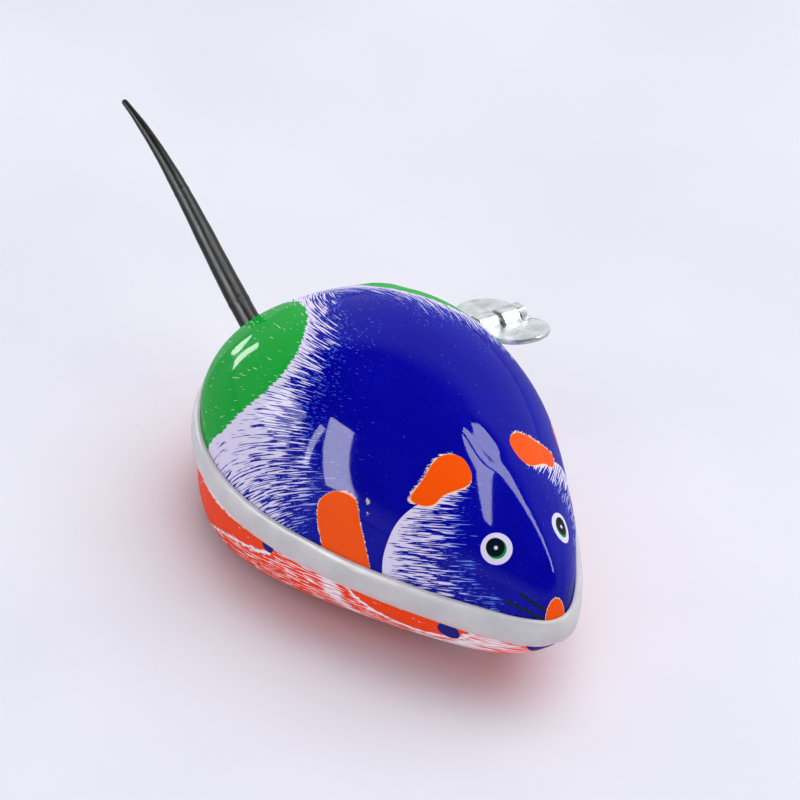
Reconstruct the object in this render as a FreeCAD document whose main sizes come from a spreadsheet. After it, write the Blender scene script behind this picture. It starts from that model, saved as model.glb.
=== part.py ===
import FreeCAD, Part
import math
import os
import re
import Sketcher
from FreeCAD import Placement, Rotation, Vector

# Clockwork tin mouse.  Millimetres.  +X points to the nose, +Y to the mouse's left (the key side), +Z up.
# The origin is the middle of the flat underside of the lower shell; the wheels reach below it.

DIMENSIONS = [
    ("body_length", 76.0, "tin body, rump to nose"),
    ("body_width", 22.5, "half width factor of the body outline"),
    ("width_first", 0.307, "outline: fuller at the rump"),
    ("width_second", -0.2476, "outline: rounder ends"),
    ("width_third", -0.0616, "outline: rump against shoulders"),
    ("dome_rise", 23.346, "dome height factor above the seam"),
    ("rise_first", 0.2711, "dome profile: fuller at the rump"),
    ("rise_second", -0.1447, "dome profile: rounder ends"),
    ("rise_third", -0.3434, "dome profile: high shoulders"),
    ("dome_power", 2.2, "superellipse power of the dome's section"),
    ("pan_drop", 14.108, "pan depth factor below the seam"),
    ("drop_first", 0.7622, "pan profile: shallow towards the nose"),
    ("drop_second", 0.7463, "pan profile: square rump"),
    ("pan_power", 3.07, "superellipse power of the pan's section"),
    ("seam_height", 11.4, "seam plane above the flat underside"),
    ("tin_gauge", 0.4, "tinplate thickness"),
    ("seam_flange", 0.7, "outward flange at the seam"),
    ("guard_height", 4.44, "edge guard strip"),
    ("guard_edge", 0.3, "edge guard thickness at its lips"),
    ("guard_bulge", 1.13, "edge guard thickness at the seam"),
    ("guard_gap", 2.0, "half gap between the strip's ends at the tail"),
    ("guard_fit", 0.03, "edge guard clear of the tin"),
    ("groove_fit", 0.05, "edge guard's groove clear of the seam flanges"),
    ("tail_radius", 1.68, "tail at the shell"),
    ("tail_tip_radius", 0.45, "tail at its tip"),
    ("tail_fullness", 1.9, "the tail keeps its girth over most of its length"),
    ("tail_flange_radius", 2.6, "retaining flange inside the shell"),
    ("tail_flange_gauge", 0.8, "retaining flange thickness"),
    ("tail_cut", 9.0, "reach of the cut for the tail's root"),
    ("frame_gap", 13.0, "between the motor plates"),
    ("plate_gauge", 0.8, "motor plate thickness"),
    ("plate_rear", -31.0, "motor plates, rear edge"),
    ("plate_front", -2.5, "motor plates, front edge"),
    ("plate_top", 29.0, "motor plates, upper edge"),
    ("plate_shoulder", 18.5, "motor plates, top of the rear edge"),
    ("plate_corner", 4.0, "motor plates, cut off the upper front corner"),
    ("plate_slope", 10.0, "motor plates, cut off the upper rear corner"),
    ("foot_length", 4.0, "fore and aft length of a plate's foot"),
    ("foot_reach", 3.6, "inward reach of a plate's foot"),
    ("rivet_radius", 0.8, "body rivets"),
    ("rivet_head_radius", 1.4, "body rivet heads"),
    ("rivet_top_radius", 0.98, "body rivet heads, flat top"),
    ("rivet_head", 0.5, "body rivet head thickness"),
    ("pillar_radius", 1.0, "frame pillars"),
    ("pillar_neck", 0.6, "pillar ends as a share of the pillar"),
    ("pillar_reach", 12.2, "upper pillars from the winding arbor"),
    ("rear_pillar_angle", 200, "rear pillar's bearing from the arbor"),
    ("front_pillar_angle", 20, "front pillar's bearing from the arbor"),
    ("low_rear_x", -28.4, "low rear pillar"),
    ("low_front_x", -4.6, "low front pillar"),
    ("low_pillar_z", 4.4, "low pillars"),
    ("arbor_x", -17.0, "winding arbor"),
    ("arbor_z", 21.05, "winding arbor"),
    ("arbor_radius", 1.25, "winding arbor"),
    ("arbor_end", 30.4, "winding arbor's outer end"),
    ("arbor_overhang", 0.6, "arbors stand this far outside the plates"),
    ("end_play", 0.2, "end play of the arbors, and the drive axle's reach past its wheels"),
    ("running_gap", 0.05, "radial clearance of a running fit"),
    ("arbor_hole", 2.0, "hole in the upper shell for the winding arbor"),
    ("axle_x", -20.0, "drive axle"),
    ("axle_radius", 1.0, "drive axle"),
    ("second_radius", 0.75, "second arbor"),
    ("gear_module", 0.5, "all gears"),
    ("gear_width", 0.8, "gear wheels"),
    ("pinion_width", 1.5, "pinions"),
    ("great_teeth", 40, "great wheel"),
    ("second_teeth", 24, "second wheel"),
    ("pinion_teeth", 10, "both pinions"),
    ("wheel_shift", -0.45, "profile shift of the gear wheels"),
    ("pinion_shift", 0.25, "profile shift of the pinions"),
    ("great_y", 0.4, "great wheel's right face"),
    ("ratchet_y", 1.5, "ratchet wheel's and click's right face"),
    ("second_y", 3.6, "second wheel's right face"),
    ("ratchet_teeth", 12, "ratchet wheel"),
    ("ratchet_radius", 4.2, "ratchet wheel's tooth tips"),
    ("ratchet_root", 3.1, "ratchet wheel's tooth roots"),
    ("click_x", 6.0, "click pivot forward of the winding arbor"),
    ("click_z", 3.19, "click pivot above the winding arbor"),
    ("click_pin_radius", 0.5, "click rivet"),
    ("click_eye_radius", 1.15, "click's round end"),
    ("click_grip", 2.0, "click rivet under its head"),
    ("click_head", 0.4, "click rivet's head"),
    ("click_wire", 0.15, "click spring wire, radius"),
    ("collar_radius", 2.0, "arbor collar"),
    ("spring_width", 5.4, "mainspring blade width"),
    ("spring_gauge", 0.28, "mainspring blade thickness"),
    ("spring_inner", 1.75, "mainspring's inner turn"),
    ("spring_outer", 8.2, "mainspring's outer full turn"),
    ("spring_turns", 6.5, "mainspring's full turns"),
    ("spring_run_out", 80, "degrees over which the blade swings out to its pillar"),
    ("spring_margin", 0.5, "mainspring clear of the right plate"),
    ("spring_fit", 0.02, "the blade's loop clear of its pillar"),
    ("key_y", 27.5, "middle of the key plate"),
    ("key_lobe_radius", 4.6, "key wings"),
    ("key_lobe_offset", 4.2, "centre of each wing from the arbor"),
    ("key_turn", -13, "degrees that the key is turned at rest, its nose-side wing up"),
    ("key_gauge", 0.8, "key plate thickness"),
    ("key_edge", 0.25, "rounding of the wings' edges"),
    ("key_sleeve", 0.7, "wall of the key's pressed sleeve"),
    ("wheel_drop", 2.4, "wheels below the flat underside"),
    ("wheel_radius", 8.0, "drive wheel over its tyre"),
    ("wheel_width", 3.5, "drive wheel"),
    ("wheel_start", 8.2, "drive wheel's inner face from the middle"),
    ("wheel_web", 1.2, "drive wheel's web thickness"),
    ("wheel_boss", 2.4, "drive wheel's boss radius"),
    ("wheel_rim", 5.4, "drive wheel's rim, inner radius"),
    ("tyre_depth", 1.6, "rubber tyre thickness"),
    ("tyre_round", 0.6, "rubber tyre edge"),
    ("slot_gap", 1.0, "clearance fore and aft of a wheel in its slot"),
    ("slot_side", 0.3, "clearance beside a drive wheel in its slot"),
    ("front_slot_side", 0.1, "clearance beside the front wheel's pin"),
    ("front_slot_top", 3.6, "top of the front wheel's slot"),
    ("front_x", 16.0, "front wheel axle"),
    ("front_radius", 4.5, "front wheel"),
    ("front_width", 5.6, "front wheel"),
    ("front_pin_radius", 0.6, "front wheel pin"),
    ("front_pin_half", 4.2, "half length of the front wheel pin"),
    ("front_edge", 0.6, "front wheel's rounded edge, across"),
    ("front_shoulder", 0.8, "front wheel's rounded edge, along"),
    ("fork_inner", 3.3, "fork arm's inner face from the middle"),
    ("fork_gauge", 0.6, "fork thickness"),
    ("fork_rear", 3.6, "fork's rear edge"),
    ("fork_bend", 10.0, "front edge of the fork's base"),
    ("fork_rivet_x", 6.0, "fork rivets"),
    ("fork_rivet_y", 1.9, "fork rivets"),
]

doc = FreeCAD.newDocument("clockwork_mouse")
sheet = doc.addObject("Spreadsheet::Sheet", "Dimensions")
for row, (alias, value, note) in enumerate(DIMENSIONS, start=1):
    sheet.set(f"A{row}", note)
    sheet.set(f"B{row}", str(value))
    sheet.setAlias(f"B{row}", alias)
doc.recompute()

ALIASES = {alias for alias, _, _ in DIMENSIONS}
SUB_PARTS = []


def size(alias):
    """A driving dimension as a number."""
    return float(sheet.get(alias))


def bound(expression):
    """The same expression with every alias read from the sheet."""
    def read(word):
        return "Dimensions." + word[0] if word[0] in ALIASES else word[0]

    return re.sub(r"[a-z_]+", read, expression)


def number(expression):
    """What an expression comes to."""
    return float(sheet.evalExpression(bound(expression)))


def keep(item, label):
    """Name a finished sub-part and list it for writing."""
    item.Label = label
    SUB_PARTS.append(item)
    return item


def feature(label, shape):
    """A finished sub-part with a shape of its own."""
    item = doc.addObject("Part::Feature", label + "_solid")
    item.Shape = shape
    return keep(item, label)


def place(item, x, y, z):
    """Bind an item's position to expressions."""
    for axis, expression in zip("xyz", (x, y, z)):
        item.setExpression("Placement.Base." + axis, bound(expression))


# ---- primitives whose axis runs along +Y ------------------------------------------------------------------


def spindle(name, radius, length, start, x, z):
    """A round bar along +Y.  Every argument is an expression."""
    bar = doc.addObject("Part::Cylinder", name)
    bar.Placement = Placement(Vector(), Rotation(Vector(1, 0, 0), -90))
    bar.setExpression("Radius", bound(radius))
    bar.setExpression("Height", bound(length))
    place(bar, x, start, z)
    return bar


def joined(name, items):
    """One solid from overlapping items."""
    fuse = doc.addObject("Part::MultiFuse", name)
    fuse.Shapes = items
    return fuse


def cut(name, base, tool):
    """The base less the tool."""
    item = doc.addObject("Part::Cut", name)
    item.Base = base
    item.Tool = tool
    return item


def collar(name, outer, inner, length, start, x, z):
    """A round sleeve along +Y."""
    solid = spindle(name + "_outer", outer, length, start, x, z)
    bore = spindle(name + "_bore", inner, length, start, x, z)
    return cut(name + "_collar", solid, bore)


# ---- PartDesign helpers -----------------------------------------------------------------------------------


def new_sketch(body, name, role):
    """A sketch on one of the body's own origin planes."""
    sketch = body.newObject("Sketcher::SketchObject", name)
    plane = next(item for item in body.Origin.OriginFeatures if item.Role == role)
    sketch.AttachmentSupport = (plane, "")
    sketch.MapMode = "FlatFace"
    return sketch


def place_point(sketch, geometry, point, corner):
    """Tie one point of a sketch to a pair of expressions."""
    for kind, expression in zip(("DistanceX", "DistanceY"), corner):
        where = sketch.addConstraint(Sketcher.Constraint(kind, -1, 1, geometry, point, number(expression)))
        sketch.setExpression(f"Constraints[{where}]", bound(expression))


def add_polygon(sketch, corners):
    """A closed polygon whose corners are pairs of expressions."""
    first = sketch.GeometryCount
    points = [Vector(number(across), number(up), 0) for across, up in corners]
    for index, start in enumerate(points):
        sketch.addGeometry(Part.LineSegment(start, points[(index + 1) % len(points)]), False)
    for index, corner in enumerate(corners):
        following = first + (index + 1) % len(points)
        sketch.addConstraint(Sketcher.Constraint("Coincident", first + index, 2, following, 1))
        place_point(sketch, first + index, 1, corner)


def add_circle(sketch, centre, radius):
    """A circle whose centre and radius are expressions."""
    middle = Vector(number(centre[0]), number(centre[1]), 0)
    index = sketch.addGeometry(Part.Circle(middle, Vector(0, 0, 1), number(radius)), False)
    where = sketch.addConstraint(Sketcher.Constraint("Radius", index, number(radius)))
    sketch.setExpression(f"Constraints[{where}]", bound(radius))
    place_point(sketch, index, 3, centre)


def turned(label, corners):
    """A body revolved about +Y from a polygon of (radius, along the axis)."""
    body = doc.addObject("PartDesign::Body", label + "_body")
    sketch = new_sketch(body, label + "_profile", "XY_Plane")
    add_polygon(sketch, corners)
    spin = body.newObject("PartDesign::Revolution", label + "_spin")
    spin.Profile = sketch
    spin.ReferenceAxis = (sketch, ["V_Axis"])
    spin.Angle = 360
    return keep(body, label)


# ---- the body outline -------------------------------------------------------------------------------------
# A station angle runs from 0 at the rump to pi at the nose; the outline is an ellipse swelled by a cubic.

LENGTH = size("body_length")
SEAM = size("seam_height")
GAUGE = size("tin_gauge")
END_ANGLE = 0.06
STATIONS = 19
ARC_POINTS = 21
OUTLINE_POINTS = 72


def swell(prefix, angle):
    """The cubic that swells an ellipse, at one station."""
    return 1 + sum(size(f"{prefix}_{order}") * math.cos(angle) ** power
                   for power, order in enumerate(("first", "second", "third"), start=1)
                   if f"{prefix}_{order}" in ALIASES)


def half_width(angle, inset=0.0):
    return (size("body_width") - inset) * math.sin(angle) * swell("width", angle)


def dome_height(angle, inset=0.0):
    return (size("dome_rise") - inset) * math.sin(angle) * swell("rise", angle)


def pan_depth(angle, inset=0.0):
    return (size("pan_drop") - inset) * math.sin(angle) * swell("drop", angle)


def station_x(angle, inset=0.0):
    return -(LENGTH / 2 - inset) * math.cos(angle)


def section(angle, reach, power, inset, skirt):
    """A half superellipse standing on the seam plane, closed across its foot; a negative reach hangs down."""
    x = station_x(angle, inset)
    wide = half_width(angle, inset)
    points = []
    for step in range(ARC_POINTS):
        turn = math.pi * step / (ARC_POINTS - 1)
        across = math.copysign(abs(math.cos(turn)) ** (2 / power), math.cos(turn))
        up = max(math.sin(turn), 0.0) ** (2 / power)
        points.append(Vector(x, wide * across, SEAM + reach * up))
    curve = Part.BSplineCurve()
    curve.interpolate(points)
    foot = SEAM - math.copysign(skirt, reach)
    edges = [curve.toShape()]
    corners = [points[-1], Vector(x, -wide, foot), Vector(x, wide, foot), points[0]]
    for start, end in zip(corners, corners[1:]):
        if (end - start).Length > 1e-7:
            edges.append(Part.LineSegment(start, end).toShape())
    return Part.Wire(edges)


def body_solid(reach_at, power, inset=0.0, skirt=0.0):
    """The dome or the pan as a solid."""
    angles = [END_ANGLE + (math.pi - 2 * END_ANGLE) * step / (STATIONS - 1) for step in range(STATIONS)]
    wires = [section(angle, reach_at(angle, inset), power, inset, skirt) for angle in angles]
    return Part.makeLoft(wires, True, False)


def outline(offset, level):
    """The body's plan outline, moved outward by an offset, at one level."""
    points = []
    for step in range(OUTLINE_POINTS):
        angle = 2 * math.pi * step / OUTLINE_POINTS
        nudge = 1e-4
        ahead = Vector(station_x(angle + nudge), half_width(angle + nudge), 0)
        behind = Vector(station_x(angle - nudge), half_width(angle - nudge), 0)
        tangent = (ahead - behind).normalize()
        middle = Vector(station_x(angle), half_width(angle), level)
        points.append(middle + Vector(-tangent.y, tangent.x, 0) * offset)
    curve = Part.BSplineCurve()
    curve.interpolate(Points=points, PeriodicFlag=True)
    return Part.Wire([curve.toShape()])


def box(low, high):
    return Part.makeBox(*(high - low), low)


def bar_y(radius, length, start):
    """A round bar along +Y from a starting point."""
    return Part.makeCylinder(radius, length, start, Vector(0, 1, 0))


# ---- shells, edge guard and tail --------------------------------------------------------------------------

TAIL_CURVE = [Vector(-35.4, 0, 12.75), Vector(-50.1, 0, 18.0), Vector(-61.5, 0, 28.85),
              Vector(-77.6, 0, 31.7)]
TAIL_RINGS = 14
GUARD_LEVELS = 9
GUARD_OPENING = 3.0
ARBOR = Vector(size("arbor_x"), 0, size("arbor_z"))
AXLE = Vector(size("axle_x"), 0, size("wheel_radius") - size("wheel_drop"))


def tail_point(share):
    """The tail's centreline and direction: a cubic curve from the root to the tip."""
    curve = Part.BezierCurve()
    curve.setPoles(TAIL_CURVE)
    return curve.value(share), Vector(*curve.tangent(share)[0])


def tail_root_bar(radius):
    """A long round bar along the tail's root."""
    root, direction = tail_point(0.0)
    return Part.makeCylinder(radius, size("tail_cut"), root - direction, direction)


def make_tail():
    """A tapered tail with a retaining flange inside the shell."""
    tip = size("tail_tip_radius")
    gauge = size("tail_flange_gauge")
    rings = []
    for step in range(TAIL_RINGS + 1):
        share = step / TAIL_RINGS
        centre, direction = tail_point(share)
        radius = tip + (size("tail_radius") - tip) * (1 - share ** size("tail_fullness"))
        rings.append(Part.Wire([Part.Circle(centre, direction, radius).toShape()]))
    shaft = Part.makeLoft(rings, True, False)
    root, direction = tail_point(0.0)
    flange = Part.makeCylinder(size("tail_flange_radius"), gauge, root - direction * gauge / 2, direction)
    return shaft.fuse(flange).removeSplitter()


def tin_shell(reach_at, power, flange_low, floor):
    """A dome or a pan of tinplate with an outward flange at the seam and, on the pan, a flat floor."""
    far = LENGTH
    flange = Part.Face(outline(size("seam_flange"), flange_low)).extrude(Vector(0, 0, GAUGE))
    outer = body_solid(reach_at, power).common(box(Vector(-far, -far, floor), Vector(far, far, far)))
    hollow = body_solid(reach_at, power, GAUGE, skirt=1.0)
    hollow = hollow.common(box(Vector(-far, -far, floor + GAUGE), Vector(far, far, far)))
    return outer.fuse(flange).cut(hollow)


def make_upper_shell():
    shell = tin_shell(dome_height, size("dome_power"), SEAM, 0)
    shell = shell.cut(bar_y(size("arbor_hole"), LENGTH / 2, ARBOR))
    return shell.cut(tail_root_bar(size("tail_radius") + size("running_gap")))


def make_lower_shell():
    shell = tin_shell(lambda angle, inset: -pan_depth(angle, inset), size("pan_power"), SEAM - GAUGE, 0)
    for tool in slots() + [rivet_hole(x, y) for x, y in FRAME_RIVETS + FORK_RIVETS]:
        shell = shell.cut(tool)
    return shell


def slots():
    """Openings in the pan for the drive wheels and the front wheel."""
    axle_up = size("wheel_radius") - size("wheel_drop")
    half = math.sqrt(size("wheel_radius") ** 2 - axle_up ** 2) + size("slot_gap")
    side = size("slot_side")
    tools = []
    for inner in (size("wheel_start"), -size("wheel_start") - size("wheel_width")):
        low = Vector(size("axle_x") - half, inner - side, -GAUGE)
        high = Vector(size("axle_x") + half, inner + size("wheel_width") + side, 4 * GAUGE)
        tools.append(box(low, high))
    half = size("front_radius") + size("slot_gap")
    wide = size("front_pin_half") + size("front_slot_side")
    low = Vector(size("front_x") - half, -wide, -GAUGE)
    tools.append(box(low, Vector(size("front_x") + half, wide, size("front_slot_top"))))
    return tools


def rivet_hole(x, y):
    return Part.makeCylinder(size("rivet_radius"), 4 * GAUGE, Vector(x, y, -GAUGE))


def make_edge_guard():
    """A soft strip round the seam, open at the tail, with a groove for the two seam flanges."""
    half = size("guard_height") / 2
    edge = size("guard_edge")
    rings = []
    for step in range(GUARD_LEVELS):
        turn = -math.pi / 2 + math.pi * step / (GUARD_LEVELS - 1)
        offset = edge + (size("guard_bulge") - edge) * math.cos(turn)
        rings.append(outline(offset, SEAM + half * math.sin(turn)))
    strip = Part.makeLoft(rings, True, False)
    bore = Part.Face(outline(size("guard_fit"), SEAM - 2 * half))
    strip = strip.cut(bore.extrude(Vector(0, 0, 4 * half)))
    groove_half = GAUGE + size("groove_fit")
    groove = Part.Face(outline(size("seam_flange") + size("groove_fit"), SEAM - groove_half))
    strip = strip.cut(groove.extrude(Vector(0, 0, 2 * groove_half)))
    gap = size("guard_gap")
    return strip.cut(box(Vector(-LENGTH, -gap, 0), Vector(-LENGTH / 2 + GUARD_OPENING, gap, LENGTH)))


# ---- gears ------------------------------------------------------------------------------------------------
# Gear shapes are drawn with the tooth angle measured from +X towards +Z, about the gear's own axis.


def facing_y(face_or_wire, thickness, x, start, z):
    """Extrude a shape drawn in X and Y into a plate that stands in X and Z and starts at one Y."""
    solid = Part.Face(face_or_wire).extrude(Vector(0, 0, thickness))
    solid.Placement = Placement(Vector(x, start + thickness, z), Rotation(Vector(1, 0, 0), 90))
    return solid


def polar(radius, angle):
    return Vector(radius * math.cos(angle), radius * math.sin(angle), 0)


def gear_outline(teeth, shift, tooth_angle):
    """An involute gear's outline with one tooth centred on an angle."""
    pressure = math.radians(20)
    module = size("gear_module")
    pitch = teeth * module / 2
    base = pitch * math.cos(pressure)
    root = pitch - module * (1.25 - shift)
    tip = pitch + module * (1 + shift)

    def half_tooth(radius):
        """Half the tooth's angle at one radius."""
        slope = math.acos(min(1.0, base / radius))
        roll = math.tan(pressure) - pressure - (math.tan(slope) - slope)
        return math.pi / (2 * teeth) + 2 * shift * math.tan(pressure) / teeth + roll

    start = max(base, root)
    middle = (start + tip) / 2
    step = 2 * math.pi / teeth
    edges = []
    for tooth in range(teeth):
        centre = tooth_angle + tooth * step
        for side in (-1, 1):
            flank = [polar(radius, centre + side * half_tooth(radius)) for radius in (start, middle, tip)]
            foot = polar(root, centre + side * half_tooth(start))
            parts = [Part.Arc(*(flank if side < 0 else flank[::-1])).toShape()]
            if start > root:
                radial = (foot, flank[0]) if side < 0 else (flank[0], foot)
                parts.insert(0 if side < 0 else 1, Part.LineSegment(*radial).toShape())
            if side > 0:
                crest = [polar(tip, centre + share * half_tooth(tip)) for share in (-1, 0, 1)]
                parts.insert(0, Part.Arc(*crest).toShape())
                gap = (polar(root, centre + half_tooth(start)), polar(root, centre + step / 2),
                       polar(root, centre + step - half_tooth(start)))
                parts.append(Part.Arc(*gap).toShape())
            edges += parts
    return Part.Wire(edges)


def gear(teeth, shift, tooth_angle, width, bore, x, start, z):
    """A bored spur gear standing in X and Z."""
    solid = facing_y(gear_outline(teeth, shift, tooth_angle), width, x, start, z)
    return solid.cut(bar_y(bore, width, Vector(x, start, z)))


MODULE = size("gear_module")
GREAT_TO_SECOND = (size("great_teeth") + size("pinion_teeth")) * MODULE / 2
SECOND_TO_AXLE = (size("second_teeth") + size("pinion_teeth")) * MODULE / 2


def second_arbor_place():
    """Where both meshes meet, on the nose side of the line from the winding arbor to the axle."""
    span = AXLE - ARBOR
    cosine = GREAT_TO_SECOND ** 2 + span.Length ** 2 - SECOND_TO_AXLE ** 2
    cosine /= 2 * GREAT_TO_SECOND * span.Length
    angle = math.atan2(span.z, span.x) + math.acos(cosine)
    return ARBOR + Vector(math.cos(angle), 0, math.sin(angle)) * GREAT_TO_SECOND


SECOND = second_arbor_place()


def bearing(start, end):
    """The angle from +X towards +Z of the line between two axes."""
    return math.atan2(end.z - start.z, end.x - start.x)


def make_great_wheel():
    half_pitch = math.pi / size("great_teeth")
    wheel = gear(int(size("great_teeth")), size("wheel_shift"), bearing(ARBOR, SECOND) + half_pitch,
                 size("gear_width"), size("arbor_radius") + size("running_gap"),
                 ARBOR.x, size("great_y"), ARBOR.z)
    rivet_foot = CLICK + Vector(0, size("great_y"), 0)
    return wheel.cut(bar_y(size("click_pin_radius"), size("click_grip"), rivet_foot))


def make_second_wheel():
    half_pitch = math.pi / size("second_teeth")
    return gear(int(size("second_teeth")), size("wheel_shift"), bearing(SECOND, AXLE) + half_pitch,
                size("gear_width"), size("second_radius"), SECOND.x, size("second_y"), SECOND.z)


def make_pinion(centre, towards, bore, wheel_start):
    """A pinion centred on the wheel that it meets."""
    start = wheel_start + (size("gear_width") - size("pinion_width")) / 2
    return gear(int(size("pinion_teeth")), size("pinion_shift"), bearing(centre, towards),
                size("pinion_width"), bore, centre.x, start, centre.z)


# ---- ratchet, click and mainspring ------------------------------------------------------------------------

CLICK = ARBOR + Vector(size("click_x"), 0, size("click_z"))
CLICK_OUTLINE = [Vector(0.06, 3.25, 0), Vector(0.06, 4.5, 0), Vector(5.6, 4.3, 0), Vector(6.6, 3.2, 0),
                 Vector(5.4, 2.25, 0), Vector(1.4, 4.28, 0)]
CLICK_SPRING_CORNERS = [(7.2, 5.6), (6.4, 6.2), (1.0, 4.64)]


def make_ratchet_wheel():
    """Saw teeth: a steep radial face at each pitch, then a ramp down to the next."""
    teeth = int(size("ratchet_teeth"))
    points = []
    for tooth in range(teeth):
        steep = math.pi / 2 + tooth * 2 * math.pi / teeth
        points += [polar(size("ratchet_root"), steep), polar(size("ratchet_radius"), steep)]
    wire = Part.makePolygon(points + points[:1])
    solid = facing_y(wire, size("gear_width"), ARBOR.x, size("ratchet_y"), ARBOR.z)
    return solid.cut(bar_y(size("arbor_radius"), size("gear_width"), ARBOR + Vector(0, size("ratchet_y"), 0)))


def make_click():
    """A pawl whose nose stands against a steep ratchet face above the arbor."""
    width = size("gear_width")
    wire = Part.makePolygon(CLICK_OUTLINE + CLICK_OUTLINE[:1])
    arm = facing_y(wire, width, ARBOR.x, size("ratchet_y"), ARBOR.z)
    base = CLICK + Vector(0, size("ratchet_y"), 0)
    eye = bar_y(size("click_eye_radius"), width, base)
    pin = bar_y(size("click_pin_radius") + size("running_gap"), width, base)
    return arm.fuse(eye).cut(pin).removeSplitter()


def make_click_rivet():
    """The click's pivot, riveted through the great wheel."""
    base = CLICK + Vector(0, size("great_y"), 0)
    grip, head = size("click_grip"), size("click_head")
    shank = bar_y(size("click_pin_radius"), grip + head / 2, base)
    cap = bar_y(size("click_eye_radius") - 2 * size("running_gap"), head, base + Vector(0, grip, 0))
    return shank.fuse(cap).removeSplitter()


def make_click_spring():
    """A bent wire: its foot stands in the great wheel and its tip lies on the click's back."""
    wire = size("click_wire")
    level = size("ratchet_y") + size("gear_width") / 2
    corners = [ARBOR + Vector(x, level, z) for x, z in CLICK_SPRING_CORNERS]
    foot = level - size("great_y") - size("gear_width")
    solid = Part.makeCylinder(wire, foot, corners[0], Vector(0, -1, 0))
    for start, end in zip(corners, corners[1:]):
        solid = solid.fuse(Part.makeCylinder(wire, (end - start).Length, start, end - start))
    for corner in corners[:-1]:
        solid = solid.fuse(Part.makeSphere(wire, corner))
    return solid


def pillar_at(bearing_degrees):
    """The place of an upper pillar, at one bearing from the winding arbor."""
    turn = math.radians(bearing_degrees)
    return ARBOR + Vector(math.cos(turn), 0, math.sin(turn)) * size("pillar_reach")


REAR_PILLAR = pillar_at(size("rear_pillar_angle"))
FRONT_PILLAR = pillar_at(size("front_pillar_angle"))
LOW_REAR_PILLAR = Vector(size("low_rear_x"), 0, size("low_pillar_z"))
LOW_FRONT_PILLAR = Vector(size("low_front_x"), 0, size("low_pillar_z"))
BLADE_POINTS_PER_TURN = 14


def make_mainspring():
    """A flat blade coiled round the arbor, its outer end looped round the rear pillar."""
    coiled = 2 * math.pi * size("spring_turns")
    run_out = math.radians(size("spring_run_out"))
    finish = math.radians(size("rear_pillar_angle"))
    gauge, width = size("spring_gauge"), size("spring_width")
    inner, outer = size("spring_inner"), size("spring_outer")
    reach = size("pillar_reach") - size("pillar_radius") - gauge / 2
    start = -size("frame_gap") / 2 + size("spring_margin")
    count = int(BLADE_POINTS_PER_TURN * (coiled + run_out) / (2 * math.pi))
    sides = {-1: [], 1: []}
    for step in range(count + 1):
        turned_by = (coiled + run_out) * step / count
        radius = inner + (outer - inner) * min(1, turned_by / coiled)
        radius += (reach - outer) * (max(0.0, turned_by - coiled) / run_out) ** 2
        angle = finish + coiled + run_out - turned_by
        for side in sides:
            sides[side].append(polar(radius + side * gauge / 2, angle))
    curves = []
    for side in sides:
        curve = Part.BSplineCurve()
        curve.interpolate(sides[side])
        curves.append(curve.toShape())
    ends = [Part.LineSegment(sides[-1][end], sides[1][end]).toShape() for end in (0, -1)]
    wire = Part.Wire([curves[0], ends[1], curves[1], ends[0]])
    blade = facing_y(wire, width, ARBOR.x, start, ARBOR.z)
    pillar = REAR_PILLAR + Vector(0, start, 0)
    bore = size("pillar_radius") + size("spring_fit")
    return blade.fuse(bar_y(bore + gauge, width, pillar)).cut(bar_y(bore, width, pillar))


# ---- winding key ------------------------------------------------------------------------------------------
# The strips are pressed out of the plate and grip the arbor from above (+1) and below (-1) in turn.

KEY_STRIPS = [(23.0, 26.05, 1), (26.05, 26.85, -1), (26.85, 30.9, 1)]


def key_strip(start, end, side):
    """One pressed strip: part of a tube that wraps one side of the arbor and reaches the plate's far face."""
    outer = size("arbor_radius") + size("key_sleeve")
    half = size("key_gauge") / 2
    tube = bar_y(outer, end - start, ARBOR + Vector(0, start, 0))
    low, high = (-half, outer) if side > 0 else (-outer, half)
    keeper = box(ARBOR + Vector(-outer, start, low), ARBOR + Vector(outer, end, high))
    return tube.common(keeper)


def make_key():
    """A butterfly plate: two wings and the strips between them."""
    half = size("key_gauge") / 2
    radius = size("key_lobe_radius")
    bore = size("arbor_radius")
    start, end = KEY_STRIPS[0][0], KEY_STRIPS[-1][1]
    plate = None
    for side in (-1, 1):
        middle = ARBOR + Vector(side * size("key_lobe_offset"), size("key_y"), -half)
        wing = Part.makeCylinder(radius, 2 * half, middle)
        rim = [edge for edge in wing.Edges if abs(edge.Length - 2 * math.pi * radius) < 1e-3]
        wing = wing.makeFillet(size("key_edge"), rim)
        plate = wing if plate is None else plate.fuse(wing)
    plate = plate.cut(box(ARBOR + Vector(-bore, start, -half), ARBOR + Vector(bore, end, half)))
    for values in KEY_STRIPS:
        plate = plate.fuse(key_strip(*values))
    bar = bar_y(bore, end - start, ARBOR + Vector(0, start, 0))
    plate = plate.cut(bar).removeSplitter()
    plate.rotate(ARBOR, Vector(0, 1, 0), size("key_turn"))
    return plate


# ---- frame, rivets and fork -------------------------------------------------------------------------------

PLATE_REAR_FOOT = size("plate_rear")
PLATE_FRONT_FOOT = size("plate_front") - size("foot_length")
RIVET_Y = size("frame_gap") / 2 - size("foot_reach") / 2
FRAME_RIVETS = [(x + size("foot_length") / 2, y)
                for x in (PLATE_REAR_FOOT, PLATE_FRONT_FOOT) for y in (-RIVET_Y, RIVET_Y)]
FORK_RIVETS = [(size("fork_rivet_x"), side * size("fork_rivet_y")) for side in (-1, 1)]
FRONT_PIN = Vector(size("front_x"), 0, size("front_radius") - size("wheel_drop"))
FORK_ARM = [(3.6, 0.4), (10.0, 0.4), (16.0, 0.7), (18.0, 1.5), (18.0, 3.2), (16.0, 4.0), (3.6, 2.4)]


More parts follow.
